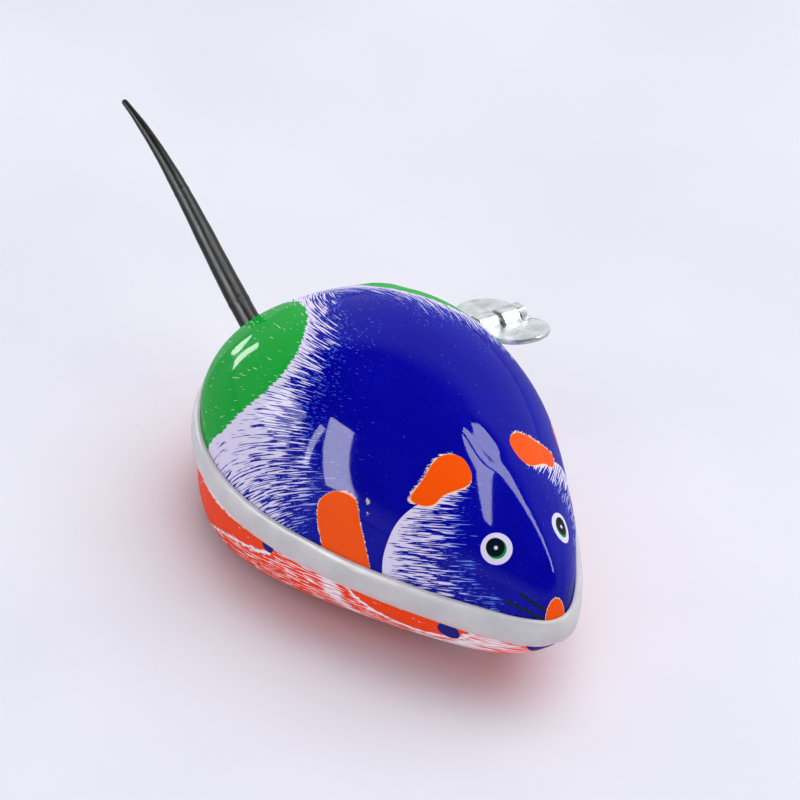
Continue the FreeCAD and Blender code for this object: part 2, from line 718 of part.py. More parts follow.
def make_motor_plate(label, inward):
    """A stamped side plate with an inward foot at each end; inward is +1 or -1 along Y."""
    body = doc.addObject("PartDesign::Body", label + "_body")
    outline_sketch = new_sketch(body, label + "_outline", "XZ_Plane")
    add_polygon(outline_sketch, [
        ("plate_rear", "0"), ("plate_front", "0"), ("plate_front", "plate_top - plate_corner"),
        ("plate_front - plate_corner", "plate_top"), ("plate_rear + plate_slope", "plate_top"),
        ("plate_rear", "plate_shoulder")])
    for centre, radius in plate_holes():
        add_circle(outline_sketch, centre, radius)
    plate = body.newObject("PartDesign::Pad", label + "_plate")
    plate.Profile = outline_sketch
    plate.setExpression("Length", bound("plate_gauge"))
    foot_sketch = new_sketch(body, label + "_feet", "XY_Plane")
    near = "-plate_gauge" if inward < 0 else "0"
    far = "-plate_gauge - foot_reach" if inward < 0 else "foot_reach"
    hole = "-plate_gauge - foot_reach / 2" if inward < 0 else "foot_reach / 2"
    for rear in ("plate_rear", "plate_front - foot_length"):
        front = rear + " + foot_length"
        add_polygon(foot_sketch, [(rear, near), (front, near), (front, far), (rear, far)])
        add_circle(foot_sketch, (rear + " + foot_length / 2", hole), "rivet_radius")
    feet = body.newObject("PartDesign::Pad", label + "_foot_pad")
    feet.Profile = foot_sketch
    feet.setExpression("Length", bound("plate_gauge"))
    body.Tip = feet
    start = "-frame_gap / 2" if inward > 0 else "frame_gap / 2 + plate_gauge"
    place(body, "0", start, "tin_gauge")
    return keep(body, label)


def plate_holes():
    """Bearing and pillar holes as expressions of X and height above the pan's floor."""
    holes = [(("arbor_x", "arbor_z - tin_gauge"), "arbor_radius + running_gap"),
             (("axle_x", "wheel_radius - wheel_drop - tin_gauge"), "axle_radius + running_gap"),
             ((str(SECOND.x), f"{SECOND.z} - tin_gauge"), "second_radius + running_gap")]
    for pillar in (REAR_PILLAR, FRONT_PILLAR, LOW_REAR_PILLAR, LOW_FRONT_PILLAR):
        holes.append(((str(pillar.x), f"{pillar.z} - tin_gauge"), "pillar_radius * pillar_neck"))
    return holes


def make_pillar(label, centre):
    """A shouldered pillar: a full bar between the plates and thinner riveted ends through them."""
    x, z = str(centre.x), str(centre.z)
    bar = spindle(label + "_bar", "pillar_radius", "frame_gap", "-frame_gap / 2", x, z)
    ends = spindle(label + "_ends", "pillar_radius * pillar_neck", "frame_gap + 2 * plate_gauge",
                   "-frame_gap / 2 - plate_gauge", x, z)
    keep(joined(label + "_fuse", [bar, ends]), label)


def rivets(label, places, grip):
    """Flush-bottomed rivets with round heads inside the body."""
    items = []
    for index, (x, y) in enumerate(places):
        shank = doc.addObject("Part::Cylinder", f"{label}_shank_{index}")
        shank.setExpression("Radius", bound("rivet_radius"))
        shank.setExpression("Height", bound(grip))
        head = doc.addObject("Part::Cone", f"{label}_head_{index}")
        head.setExpression("Radius1", bound("rivet_head_radius"))
        head.setExpression("Radius2", bound("rivet_top_radius"))
        head.setExpression("Height", bound("rivet_head"))
        place(shank, str(x), str(y), "0")
        place(head, str(x), str(y), grip)
        items.append(joined(f"{label}_rivet_{index}", [shank, head]))
    group = doc.addObject("Part::Compound", label + "_group")
    group.Links = items
    keep(group, label)


def make_front_fork():
    """A stamped fork: a base riveted to the pan and two arms that carry the front wheel's pin."""
    gauge = size("fork_gauge")
    rear, bend = size("fork_rear"), size("fork_bend")
    inner = size("fork_inner")
    fork = box(Vector(rear, -inner - gauge, GAUGE), Vector(bend, inner + gauge, GAUGE + gauge))
    points = [Vector(x, z, 0) for x, z in FORK_ARM]
    for start in (-inner - gauge, inner):
        fork = fork.fuse(facing_y(Part.makePolygon(points + points[:1]), gauge, 0, start, 0))
    reach = inner + gauge
    fork = fork.cut(bar_y(size("front_pin_radius"), 2 * reach, FRONT_PIN - Vector(0, reach, 0)))
    for x, y in FORK_RIVETS:
        fork = fork.cut(rivet_hole(x, y))
    return fork.removeSplitter()


# ---- the whole mouse --------------------------------------------------------------------------------------

AXLE_UP = "wheel_radius - wheel_drop"

feature("upper_shell", make_upper_shell())
feature("lower_shell", make_lower_shell())
feature("edge_guard", make_edge_guard())
feature("tail", make_tail())

make_motor_plate("motor_plate_left", -1)
make_motor_plate("motor_plate_right", 1)
make_pillar("rear_pillar", REAR_PILLAR)
make_pillar("front_pillar", FRONT_PILLAR)
make_pillar("low_rear_pillar", LOW_REAR_PILLAR)
make_pillar("low_front_pillar", LOW_FRONT_PILLAR)
rivets("frame_rivets", FRAME_RIVETS, "tin_gauge + plate_gauge")
feature("mainspring", make_mainspring())

feature("front_fork", make_front_fork())
rivets("fork_rivets", FORK_RIVETS, "tin_gauge + fork_gauge")
keep(spindle("front_pin_bar", "front_pin_radius", "2 * front_pin_half", "-front_pin_half",
             "front_x", "front_radius - wheel_drop"), "front_wheel_pin")
front_wheel = turned("front_wheel", [
    ("front_pin_radius + running_gap", "-front_width / 2"), ("front_radius - front_edge", "-front_width / 2"),
    ("front_radius", "-front_width / 2 + front_shoulder"),
    ("front_radius", "front_width / 2 - front_shoulder"),
    ("front_radius - front_edge", "front_width / 2"), ("front_pin_radius + running_gap", "front_width / 2")])
place(front_wheel, "front_x", "0", "front_radius - wheel_drop")

feature("great_wheel", make_great_wheel())
feature("click_rivet", make_click_rivet())
feature("click_spring", make_click_spring())
feature("click", make_click())

ARBOR_START = "-frame_gap / 2 - plate_gauge - arbor_overhang"
keep(spindle("winding_arbor_bar", "arbor_radius", f"arbor_end - ({ARBOR_START})", ARBOR_START,
             "arbor_x", "arbor_z"), "winding_arbor")
feature("ratchet_wheel", make_ratchet_wheel())
keep(collar("arbor", "collar_radius", "arbor_radius", "frame_gap / 2 - end_play - ratchet_y - gear_width",
            "ratchet_y + gear_width", "arbor_x", "arbor_z"), "arbor_collar")
feature("winding_key", make_key())

SECOND_AT = (str(SECOND.x), str(SECOND.z))
keep(spindle("second_arbor_bar", "second_radius", f"-2 * ({ARBOR_START})", ARBOR_START, *SECOND_AT),
     "second_arbor")
feature("second_wheel", make_second_wheel())
feature("second_pinion", make_pinion(SECOND, ARBOR, size("second_radius"), size("great_y")))

AXLE_HALF = "wheel_start + wheel_width + end_play"
keep(spindle("drive_axle_bar", "axle_radius", f"2 * ({AXLE_HALF})", f"-({AXLE_HALF})", "axle_x", AXLE_UP),
     "drive_axle")
feature("drive_pinion", make_pinion(AXLE, SECOND, size("axle_radius"), size("second_y")))
HALF = "wheel_width / 2"
RIM = "wheel_radius - tyre_depth"
for side_name, middle in (("left", f"wheel_start + {HALF}"), ("right", f"-wheel_start - {HALF}")):
    hub = turned(f"drive_wheel_{side_name}", [
        ("axle_radius", f"-{HALF}"), ("wheel_boss", f"-{HALF}"), ("wheel_boss", "-wheel_web / 2"),
        ("wheel_rim", "-wheel_web / 2"), ("wheel_rim", f"-{HALF}"), (RIM, f"-{HALF}"),
        (RIM, HALF), ("wheel_rim", HALF), ("wheel_rim", "wheel_web / 2"), ("wheel_boss", "wheel_web / 2"),
        ("wheel_boss", HALF), ("axle_radius", HALF)])
    tyre = turned(f"tyre_{side_name}", [
        (RIM, f"-{HALF}"), ("wheel_radius - tyre_round", f"-{HALF}"),
        ("wheel_radius", f"-{HALF} + tyre_round"),
        ("wheel_radius", f"{HALF} - tyre_round"), ("wheel_radius - tyre_round", HALF), (RIM, HALF)])
    for item in (hub, tyre):
        place(item, "axle_x", middle, AXLE_UP)

# ---- check and write --------------------------------------------------------------------------------------

doc.recompute()
faults = [item.Name for item in doc.Objects if {"Invalid", "Error"} & set(item.State)]
faults += [item.Label for item in SUB_PARTS if item.Shape.isNull() or not item.Shape.isValid()]
if faults:
    raise RuntimeError("these objects failed: " + ", ".join(faults))
os.makedirs("parts", exist_ok=True)
for item in SUB_PARTS:
    item.Shape.exportStep(f"parts/{item.Label}.step")
    print(f"{item.Label:20s} {item.Shape.Volume:10.2f} mm3  {len(item.Shape.Solids)} solid(s)")
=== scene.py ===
"""The looks of a clockwork tin mouse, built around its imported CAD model.

Blender works in metres.  Sizes here are millimetres, in the CAD model's own frame: +X to the nose,
+Y to the mouse's left, where the key is, +Z up, and the origin in the middle of the flat underside.
"""

import math

import bmesh
import bpy
import numpy as np
from mathutils import Matrix, Quaternion, Vector


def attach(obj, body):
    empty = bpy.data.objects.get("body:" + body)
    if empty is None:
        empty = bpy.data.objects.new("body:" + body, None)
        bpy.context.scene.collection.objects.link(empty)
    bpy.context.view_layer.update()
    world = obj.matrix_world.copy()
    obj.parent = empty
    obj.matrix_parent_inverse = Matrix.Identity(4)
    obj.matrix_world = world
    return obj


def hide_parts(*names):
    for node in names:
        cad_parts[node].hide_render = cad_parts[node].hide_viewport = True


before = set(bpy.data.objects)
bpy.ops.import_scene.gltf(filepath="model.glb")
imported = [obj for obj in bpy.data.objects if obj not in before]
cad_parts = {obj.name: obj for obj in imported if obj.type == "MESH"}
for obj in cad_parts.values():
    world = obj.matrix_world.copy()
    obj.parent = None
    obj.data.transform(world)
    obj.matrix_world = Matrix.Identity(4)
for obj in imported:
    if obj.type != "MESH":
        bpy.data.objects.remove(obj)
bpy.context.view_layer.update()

MM = 0.001
FLOOR_Z = -2.4
CHASSIS = "chassis"

# ---- the tin body's formula -------------------------------------------------------------------------------
# A station angle runs from 0 at the rump to pi at the nose.  A turn runs from 0 at the right seam over the
# middle to pi at the left seam.  A curve is an ellipse's half height and the cubic that swells it.

HALF_LENGTH = 38.0
SEAM = 11.4
GAUGE = 0.4
FLANGE = 0.7
OUTLINE = (22.5, (0.307, -0.2476, -0.0616))
DOME = (23.346, (0.2711, -0.1447, -0.3434))
DOME_POWER = 2.2
PAN = (14.108, (0.7622, 0.7463, 0.0))
PAN_POWER = 3.07
FLOOR_BEND = 0.35
# The pan's widest turn, the share of its columns that the sides take, and how far down its curve stays plain.
PAN_CORNER = 1.15
PAN_SIDE_SHARE = 0.62
PAN_LIP = 1.0
NUDGE = 1e-4


def swelled(curve, angle, inset=0.0):
    """Half the width or height of a section at a station angle."""
    scale, (first, second, third) = curve
    across = np.cos(angle)
    return (scale - inset) * np.sin(angle) * (1 + first * across + second * across**2 + third * across**3)


def station_x(angle, inset=0.0):
    return -(HALF_LENGTH - inset) * np.cos(angle)


def dome_at(angle, turn, inset=0.0):
    """Points of the plain dome, as an array with a last axis of three."""
    wide = np.sign(np.cos(turn)) * np.abs(np.cos(turn)) ** (2 / DOME_POWER)
    across = -swelled(OUTLINE, angle, inset) * wide
    rise = swelled(DOME, angle, inset) * np.maximum(np.sin(turn), 0) ** (2 / DOME_POWER)
    return np.stack([station_x(angle, inset) + 0 * across, across, SEAM + rise], -1)


def on_dome(x, y):
    """The dome's point above one place in plan."""
    angle = math.acos(-x / HALF_LENGTH)
    share = min(abs(y) / float(swelled(OUTLINE, angle)), 1.0)
    rise = float(swelled(DOME, angle)) * (1 - share**DOME_POWER) ** (1 / DOME_POWER)
    return np.array([x, y, SEAM + rise])


# ---- the dome's pressed relief ----------------------------------------------------------------------------
# Round swellings: centre, spread and height.  Both sides are alike, so Y is taken without its sign.

SWELLINGS = [
    ((-22.0, 17.0, 22.0), 8.5, 0.75),
    ((4.0, 18.5, 20.0), 7.0, 0.45),
    ((24.0, 12.0, 14.5), 5.0, 0.35),
]
# Long ridges: plan points, spread and height.
RIDGES = [
    ([(15.0, 2.0), (21.6, 3.8), (27.0, 5.6)], 2.0, 0.2),
    ([(22.0, 0.0), (28.0, 0.0), (34.0, 0.0), (36.5, 0.0)], 1.8, 0.22),
    ([(-23.6, 17.2), (-23.3, 15.5), (-22.4, 14.2), (-21.9, 11.5), (-21.2, 9.5), (-21.5, 7.2)], 1.1, 0.25),
]


def distance_to_path(points, path):
    """Distance from each point to an open run of straight pieces."""
    best = np.full(points.shape[:-1], np.inf)
    for start, end in zip(path[:-1], path[1:]):
        run = end - start
        share = np.clip(((points - start) @ run) / (run @ run), 0, 1)
        gap = np.linalg.norm(points - (start + share[..., None] * run), axis=-1)
        best = np.minimum(best, gap)
    return best


def relief(points):
    """How far the pressing stands proud at each point."""
    folded = points * 1.0
    folded[..., 1] = np.abs(folded[..., 1])
    height = np.zeros(points.shape[:-1])
    for centre, spread, amount in SWELLINGS:
        gap = np.linalg.norm(folded - np.array(centre), axis=-1)
        height += amount * np.exp(-0.5 * (gap / spread) ** 2)
    for plan, spread, amount in RIDGES:
        path = np.array([on_dome(x, y) for x, y in plan])
        height += amount * np.exp(-0.5 * (distance_to_path(folded, path) / spread) ** 2)
    return height


def pressed_dome_at(angle, turn, inset=0.0):
    """Points of the dome with its relief."""
    points = dome_at(angle, turn, inset)
    along = dome_at(angle + NUDGE, turn, inset) - dome_at(angle - NUDGE, turn, inset)
    over = dome_at(angle, turn + NUDGE, inset) - dome_at(angle, turn - NUDGE, inset)
    normal = np.cross(along, over)
    normal /= np.maximum(np.linalg.norm(normal, axis=-1, keepdims=True), 1e-12)
    outward = points - np.array([0.0, 0.0, SEAM])
    normal *= np.sign(np.sum(normal * outward, axis=-1, keepdims=True))
    lift = relief(points) * np.clip((points[..., 2] - SEAM - 2.0) / 3.0, 0, 1)
    return points + normal * lift[..., None]


def pan_at(angle, share, inset=0.0):
    """Points of the pan; share runs from 0 at the right seam over the floor to 1 at the left one."""
    wide = swelled(OUTLINE, angle, inset)
    deep = np.maximum(swelled(PAN, angle, inset), 1e-6)
    corner = np.arcsin(np.minimum(1.0, (SEAM - inset) / deep) ** (PAN_POWER / 2))
    corner = np.minimum(corner, PAN_CORNER)
    reach = 1 - np.abs(2 * share - 1)
    turn = corner * np.minimum(reach / PAN_SIDE_SHARE, 1.0)
    across = np.maximum(np.cos(turn), 0) ** (2 / PAN_POWER)
    across = across * (1 - np.clip((reach - PAN_SIDE_SHARE) / (1 - PAN_SIDE_SHARE), 0, 1))
    drop = deep * (1 - np.minimum(across, 1.0) ** PAN_POWER) ** (1 / PAN_POWER)
    level = SEAM - drop - inset
    level = inset + (level + np.sqrt(level**2 + FLOOR_BEND**2)) / 2
    level = SEAM - (SEAM - level) * np.clip(drop / PAN_LIP, 0, 1)
    level = np.where(drop < PAN_LIP, SEAM - drop, np.minimum(level, SEAM - PAN_LIP + 0.02))
    return np.stack([station_x(angle, inset) + 0 * across, np.sign(share - 0.5) * wide * across, level], -1)


def outline_points(angles, offset, level):
    """The plan outline moved outward.  Angles past pi run back along the right side."""
    ahead, behind = (np.stack([station_x(near), swelled(OUTLINE, near)], -1)
                     for near in (angles + NUDGE, angles - NUDGE))
    tangent = ahead - behind
    tangent /= np.linalg.norm(tangent, axis=-1, keepdims=True)
    x = station_x(angles) - offset * tangent[:, 1]
    y = swelled(OUTLINE, angles) + offset * tangent[:, 0]
    return np.stack([x, y, level + 0 * x], -1)


# ---- mesh helpers -----------------------------------------------------------------------------------------


def make_piece(name, points, faces, sharp=35):
    """A mesh object from millimetre points."""
    mesh = bpy.data.meshes.new(name)
    mesh.from_pydata((np.asarray(points) * MM).tolist(), [], faces)
    tidy_mesh(mesh)
    smooth(mesh, sharp)
    piece = bpy.data.objects.new(name, mesh)
    bpy.context.scene.collection.objects.link(piece)
    return piece


def smooth(mesh, sharp=35):
    """Shade smoothly, apart from edges sharper than some degrees."""
    mesh.shade_smooth()
    mesh.set_sharp_from_angle(angle=math.radians(sharp))


def tidy_mesh(mesh):
    """Merge doubled points and turn every face outward."""
    form = bmesh.new()
    form.from_mesh(mesh)
    bmesh.ops.remove_doubles(form, verts=form.verts, dist=1e-3 * MM)
    bmesh.ops.dissolve_degenerate(form, edges=form.edges, dist=1e-4 * MM)
    bmesh.ops.recalc_face_normals(form, faces=form.faces)
    form.to_mesh(mesh)
    form.free()


def grid_faces(rows, columns, first=0, closed_columns=False, closed_rows=False):
    """Four-sided faces over a grid of points stored row by row."""
    faces = []
    for row in range(rows if closed_rows else rows - 1):
        for column in range(columns if closed_columns else columns - 1):
            below, beside = (row + 1) % rows, (column + 1) % columns
            faces.append((first + row * columns + column, first + row * columns + beside,
                          first + below * columns + beside, first + below * columns + column))
    return faces


def tube_faces(rings, sides):
    """Faces of a tube with closed ends."""
    faces = grid_faces(rings, sides, closed_columns=True)
    last = (rings - 1) * sides
    return faces + [tuple(range(sides))[::-1], tuple(range(last, last + sides))]


def finished(piece, material, body, slot, *replaced):
    """Give a piece its material, hang it on a body's empty and hide the CAD parts that it replaces."""
    paint(piece, material)
    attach(piece, body)
    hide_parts(*replaced)


def paint(piece, material):
    piece.data.materials.clear()
    piece.data.materials.append(material)


def carve(piece, cutters):
    """Cut closed solids out of a closed piece."""
    for cutter in cutters:
        modifier = piece.modifiers.new("carve", "BOOLEAN")
        modifier.object = cutter
        modifier.operation = "DIFFERENCE"
        modifier.solver = "EXACT"
    bpy.context.view_layer.update()
    graph = bpy.context.evaluated_depsgraph_get()
    mesh = bpy.data.meshes.new_from_object(piece.evaluated_get(graph))
    piece.modifiers.clear()
    piece.data = mesh
    for cutter in cutters:
        bpy.data.objects.remove(cutter)
    smooth(mesh)
    return piece


def spun(name, profile, segments, middle, sharp=35, ripple=None):
    """A closed profile of (radius, y), turned about a line along Y through a point."""
    points = []
    for step in range(segments):
        turn = 2 * math.pi * step / segments
        for index, (radius, y) in enumerate(profile):
            reach = radius * (1 + (ripple(turn, index) if ripple else 0))
            points.append((reach * math.cos(turn), y, reach * math.sin(turn)))
    faces = grid_faces(segments, len(profile), closed_columns=True, closed_rows=True)
    return make_piece(name, np.array(points) + np.array(middle), faces, sharp)


def sweep(stations, sides):
    """Points and faces of a closed tube that stays in the XZ plane, from (centre, direction, radius)."""
    across = np.array([0.0, 1.0, 0.0])
    points = []
    for centre, slope, radius in stations:
        up = np.cross(slope, across)
        for step in range(sides):
            turn = 2 * math.pi * step / sides
            points.append(centre + radius * (math.cos(turn) * across + math.sin(turn) * up))
    return np.array(points), tube_faces(len(stations), sides)


def set_attribute(mesh, name, values):
    """Store one number or one triple for each point of a mesh."""
    values = np.asarray(values, np.float32)
    if values.ndim == 1:
        mesh.attributes.new(name, "FLOAT", "POINT").data.foreach_set("value", values)
    else:
        mesh.attributes.new(name, "FLOAT_VECTOR", "POINT").data.foreach_set("vector", values.ravel())


def mesh_points(mesh):
    """A mesh's points in millimetres."""
    flat = np.zeros(len(mesh.vertices) * 3, np.float32)
    mesh.vertices.foreach_get("co", flat)
    return flat.reshape(-1, 3).astype(float) / MM


# ---- the two pressed shells -------------------------------------------------------------------------------

STATIONS = 190
TURNS = 150
POLE_GAP = 0.012


def shell_points(surface, flange_outer, flange_inner):
    """A closed sheet: outer grid, flange and inner grid.  Each grid ends in a point at rump and nose."""
    angles = np.linspace(POLE_GAP, math.pi - POLE_GAP, STATIONS)
    columns = np.linspace(0, 1, TURNS)
    angle, column = np.meshgrid(angles, columns, indexing="ij")
    points = []
    faces = []
    rims = []
    for inset in (0.0, GAUGE):
        first = len(points)
        points.extend(surface(angle, column, inset).reshape(-1, 3))
        faces.extend(grid_faces(STATIONS, TURNS, first))
        ends = []
        for row, sign in ((0, -1), (STATIONS - 1, 1)):
            tip = len(points)
            ends.append(tip)
            points.append(np.array([sign * (HALF_LENGTH - inset), 0.0, SEAM]))
            start = first + row * TURNS
            faces.extend((tip, start + step, start + step + 1) for step in range(TURNS - 1))
        left = [first + row * TURNS + TURNS - 1 for row in range(STATIONS)]
        right = [first + row * TURNS for row in range(STATIONS)]
        rims.append([ends[0]] + left + [ends[1]] + right[::-1])
    plan = np.concatenate([[0.0], angles, [math.pi], 2 * math.pi - angles[::-1]])
    loops = [rims[0]]
    for level in (flange_outer, flange_inner):
        loops.append(list(range(len(points), len(points) + len(plan))))
        points.extend(outline_points(plan, FLANGE, level))
    loops.append(rims[1])
    for one, other in zip(loops, loops[1:]):
        for step in range(len(one)):
            after = (step + 1) % len(one)
            faces.append((one[step], one[after], other[after], other[step]))
    return np.array(points), faces


def block(low, high):
    """A box-shaped cutter."""
    corners = [(x, y, z) for x in (low[0], high[0]) for y in (low[1], high[1]) for z in (low[2], high[2])]
    faces = [(0, 1, 3, 2), (4, 6, 7, 5), (0, 4, 5, 1), (2, 3, 7, 6), (0, 2, 6, 4), (1, 5, 7, 3)]
    return make_piece("cutter", corners, faces)


ARBOR = (-17.0, 21.05)
ARBOR_HOLE = 2.0
# Slots for the two drive wheels and the front one: low and high corners of each cutter.
PAN_SLOTS = [
    ((-26.66, 7.9, -2), (-13.34, 12.0, 1.6)),
    ((-26.66, -12.0, -2), (-13.34, -7.9, 1.6)),
    ((10.5, -4.3, -2), (21.5, 4.3, 3.6)),
]


def make_dome():
    def surface(angle, column, inset):
        return pressed_dome_at(angle, column * math.pi, inset)

    points, faces = shell_points(surface, SEAM + GAUGE - 0.05, SEAM + 0.02)
    dome = make_piece("dome_shell", points, faces)
    hole = [(0.001, 4.0), (ARBOR_HOLE, 4.0), (ARBOR_HOLE, 40.0), (0.001, 40.0)]
    return carve(dome, [spun("cutter", hole, 48, (ARBOR[0], 0.0, ARBOR[1]))])


def make_pan():
    points, faces = shell_points(pan_at, SEAM - GAUGE + 0.05, SEAM - 0.02)
    pan = make_piece("pan_shell", points, faces)
    return carve(pan, [block(low, high) for low, high in PAN_SLOTS])


# ---- the print's chart: how far along and how far up from the seam each point lies ------------------------


def arc_table(curve, power):
    """Lengths up one half section of the dome or the pan, for every station."""
    angles = np.linspace(0.004, math.pi - 0.004, 300)
    turns = np.linspace(0, math.pi / 2, 160)
    angle, turn = np.meshgrid(angles, turns, indexing="ij")
    across = swelled(OUTLINE, angle) * np.cos(turn) ** (2 / power)
    rise = swelled(curve, angle) * np.sin(turn) ** (2 / power)
    steps = np.linalg.norm(np.diff(np.stack([across, rise], -1), axis=1), axis=-1)
    return angles, turns, np.concatenate([np.zeros((len(angles), 1)), np.cumsum(steps, axis=1)], axis=1)


def grid_place(values, marks):
    """The mark below each value, and the share of the way to the next one."""
    place = np.clip((values - marks[0]) / (marks[1] - marks[0]), 0, len(marks) - 1.001)
    low = place.astype(int)
    return low, place - low


def chart(points, curve, power):
    """For each point: (x, length up or down from the seam), and which side it is on."""
    angles, turns, table = arc_table(curve, power)
    angle = np.arccos(np.clip(-points[:, 0] / HALF_LENGTH, -0.99999, 0.99999))
    across = np.abs(points[:, 1]) / swelled(OUTLINE, angle)
    rise = np.abs(points[:, 2] - SEAM) / swelled(curve, angle)
    turn = np.arctan2(rise ** (power / 2), np.maximum(across, 1e-9) ** (power / 2))
    (row, row_share), (column, column_share) = grid_place(angle, angles), grid_place(turn, turns)
    near, far = (table[at, column] * (1 - column_share) + table[at, column + 1] * column_share
                 for at in (row, row + 1))
    arc = near * (1 - row_share) + far * row_share
    return np.stack([points[:, 0], arc], -1), np.where(points[:, 1] < 0, 0.0, 1.0)


def rounded(points, closed=True, steps=6):
    """A smooth path through a few points."""
    points = np.array(points, float)
    count = len(points)
    spans = count if closed else count - 1
    path = []
    for index in range(spans):
        before, start, end, after = (
            points[at % count if closed else min(max(at, 0), count - 1)]
            for at in (index - 1, index, index + 1, index + 2))
        for step in range(steps):
            share = step / steps
            path.append(0.5 * (2 * start + (end - before) * share
                               + (2 * before - 5 * start + 4 * end - after) * share**2
                               + (3 * start - before - 3 * end + after) * share**3))
    if not closed:
        path.append(points[-1])
    return np.array(path)


def inside_distance(place, loop):
    """Distance to a closed loop, positive inside it."""
    closed = np.vstack([loop, loop[:1]])
    gap = distance_to_path(place, closed)
    inside = np.zeros(len(place), bool)
    for start, end in zip(closed[:-1], closed[1:]):
        crosses = (start[1] > place[:, 1]) != (end[1] > place[:, 1])
        rise = end[1] - start[1]
        where = start[0] + (place[:, 1] - start[1]) * (end[0] - start[0]) / (rise if rise else 1e-9)
        inside ^= crosses & (place[:, 0] < where)
    return np.where(inside, gap, -gap)


# The left side's hairs come from elsewhere in the noise, so that they don't mirror the right side's.
SIDE_SHIFT = 9.0


def set_fur(mesh, name, place, side, origin, rim_turn, top_turn, top_at):
    """Coordinates along and across fur that turns from one direction at the seam to another higher up."""
    offset = place - np.array(origin)
    share = np.clip(place[:, 1] / top_at, 0, 1)
    turn = np.radians(rim_turn + (top_turn - rim_turn) * share)
    along = offset[:, 0] * np.cos(turn) + offset[:, 1] * np.sin(turn)
    across = -offset[:, 0] * np.sin(turn) + offset[:, 1] * np.cos(turn)
    set_attribute(mesh, name, np.stack([along, across, SIDE_SHIFT * side], -1))


# Outlines of the printed patches as (x, length up from the seam).
HAUNCH = [(-20.8, -4), (-19.2, 0), (-16.9, 3.5), (-13.2, 9), (-11.3, 13.1), (-9.8, 16.3), (-9.3, 19),
          (-9.5, 21.9), (-10.6, 24.3), (-13.1, 26.6), (-16.8, 28), (-22, 26.9), (-26, 23.6), (-30, 19.2),
          (-34, 13), (-37.2, 6), (-41, 0), (-42, -4)]
RUFF = [(-46, 42), (-24, 38), (-15.6, 33.6), (-9.7, 32.5), (-6.3, 31.3), (-5, 28), (-3, 24.9), (-1.3, 22.4),
        (0.3, 19.1), (3.6, 15.8), (8, 11.8), (7.2, 8), (6.2, 3.8), (5, -4), (-46, -6)]
ARM = [(10.0, -4), (9.3, 2.3), (7.8, 6.8), (7.5, 8.9), (8.7, 10.8), (10.6, 11.5), (12.2, 10.7), (13.8, 8),
       (15.4, 5.2), (16.6, 2), (18.2, -4)]
EAR = [(17.7, 14.2), (17.4, 16.6), (17.1, 18.2), (16.6, 19.8), (16.3, 21.7), (16.8, 22.9), (17.9, 23.2),
       (19.3, 22.4), (20.8, 21), (21.6, 19.6), (21.6, 18.5), (21.1, 17.4), (20.6, 16.2), (20.6, 14.8),
       (20.1, 14), (18.9, 13.7)]
CHEEK_REAR = [(21.6, 18.6), (20.4, 15.6), (19, 13.7), (18.3, 11.7), (18, 9.6), (18, 7.2), (18.1, 4.4),
              (18.3, 2.1), (18.8, -4)]
CHEEK_FRONT = [(21.9, 20.1), (23.4, 15.6), (25.7, 12), (28.1, 8.2), (31.5, 5.1), (34.5, 2.8), (36.5, -4)]


def add_dome_chart(dome):
    """Everything that the dome's print needs to know about each point."""
    mesh = dome.data
    place, side = chart(mesh_points(mesh), DOME, DOME_POWER)
    x, arc = place.T
    set_fur(mesh, "back_fur", place, side, (-6.0, 14.0), 46, 12, 26)
    set_fur(mesh, "face_fur", place, side, (24.0, 9.0), 14, 26, 22)
    haunch, arm, ear = (inside_distance(place, rounded(loop)) for loop in (HAUNCH, ARM, EAR))
    ruff = inside_distance(place, np.array(RUFF, float))
    outside = np.maximum(-haunch, 0)
    ruff_share = outside / np.maximum(outside + np.maximum(ruff, 0), 1e-3) + np.maximum(-ruff, 0) * 0.1
    fringe = np.clip(np.maximum((20.3 - arc) / 1.5, (17.2 - x) / 0.5), 0, 1)
    rear, front = rounded(CHEEK_REAR, False), rounded(CHEEK_FRONT, False)
    behind, before = distance_to_path(place, rear), distance_to_path(place, front)
    inside = inside_distance(place, np.vstack([rear, front[::-1]])) > 0
    past = (x > 18) & ~inside & (before < behind)
    cheek = np.where(past, 1 + 0.1 * before, behind / (behind + before))
    cheek_edge = np.where(inside | past, behind, -behind)
    for name, values in (
            ("haunch", haunch), ("height", arc), ("ruff", ruff_share), ("arm", arm), ("ear", ear),
            ("ear_fringe", fringe), ("cheek", cheek), ("cheek_edge", cheek_edge)):
        set_attribute(mesh, name, values)


# Pan patches as (x, length down from the seam).
REAR_LEG = [(-36, 0), (-30, 3.2), (-22, 4), (-14.8, 3.6), (-9.8, 3.3), (-5.3, 2.8), (-1, 2), (0.6, 2.6),
            (-0.6, 4.2), (-5, 5.6), (-9.7, 7.1), (-14, 9), (-18.3, 11.6), (-23, 14), (-30, 14), (-38, 8),
            (-40, 2)]
FRONT_LEG = [(12.2, -1), (13.8, 2.5), (16, 4.1), (19.5, 5.3), (23.3, 5.7), (26, 5.1), (28.6, 4), (31, 1.5),
             (31, -2)]
FRONT_ARC = [(9, 0), (10.8, 3.2), (12.4, 6.9), (15.3, 9.2), (19.5, 9.2), (24, 8), (29, 6.2), (33, 3)]
CHIN = 36.2


def add_pan_chart(pan):
    """Everything that the pan's print needs to know about each point."""
    mesh = pan.data
    place, side = chart(mesh_points(mesh), PAN, PAN_POWER)
    set_fur(mesh, "pan_fur", place, side, (0.0, 6.0), -4, -16, 16)
    rear, front = (inside_distance(place, rounded(loop)) for loop in (REAR_LEG, FRONT_LEG))
    set_attribute(mesh, "legs", np.maximum(rear, front))
    set_attribute(mesh, "fur_arc", distance_to_path(place, rounded(FRONT_ARC, False)))
    set_attribute(mesh, "depth", place[:, 1])


# ---- materials --------------------------------------------------------------------------------------------


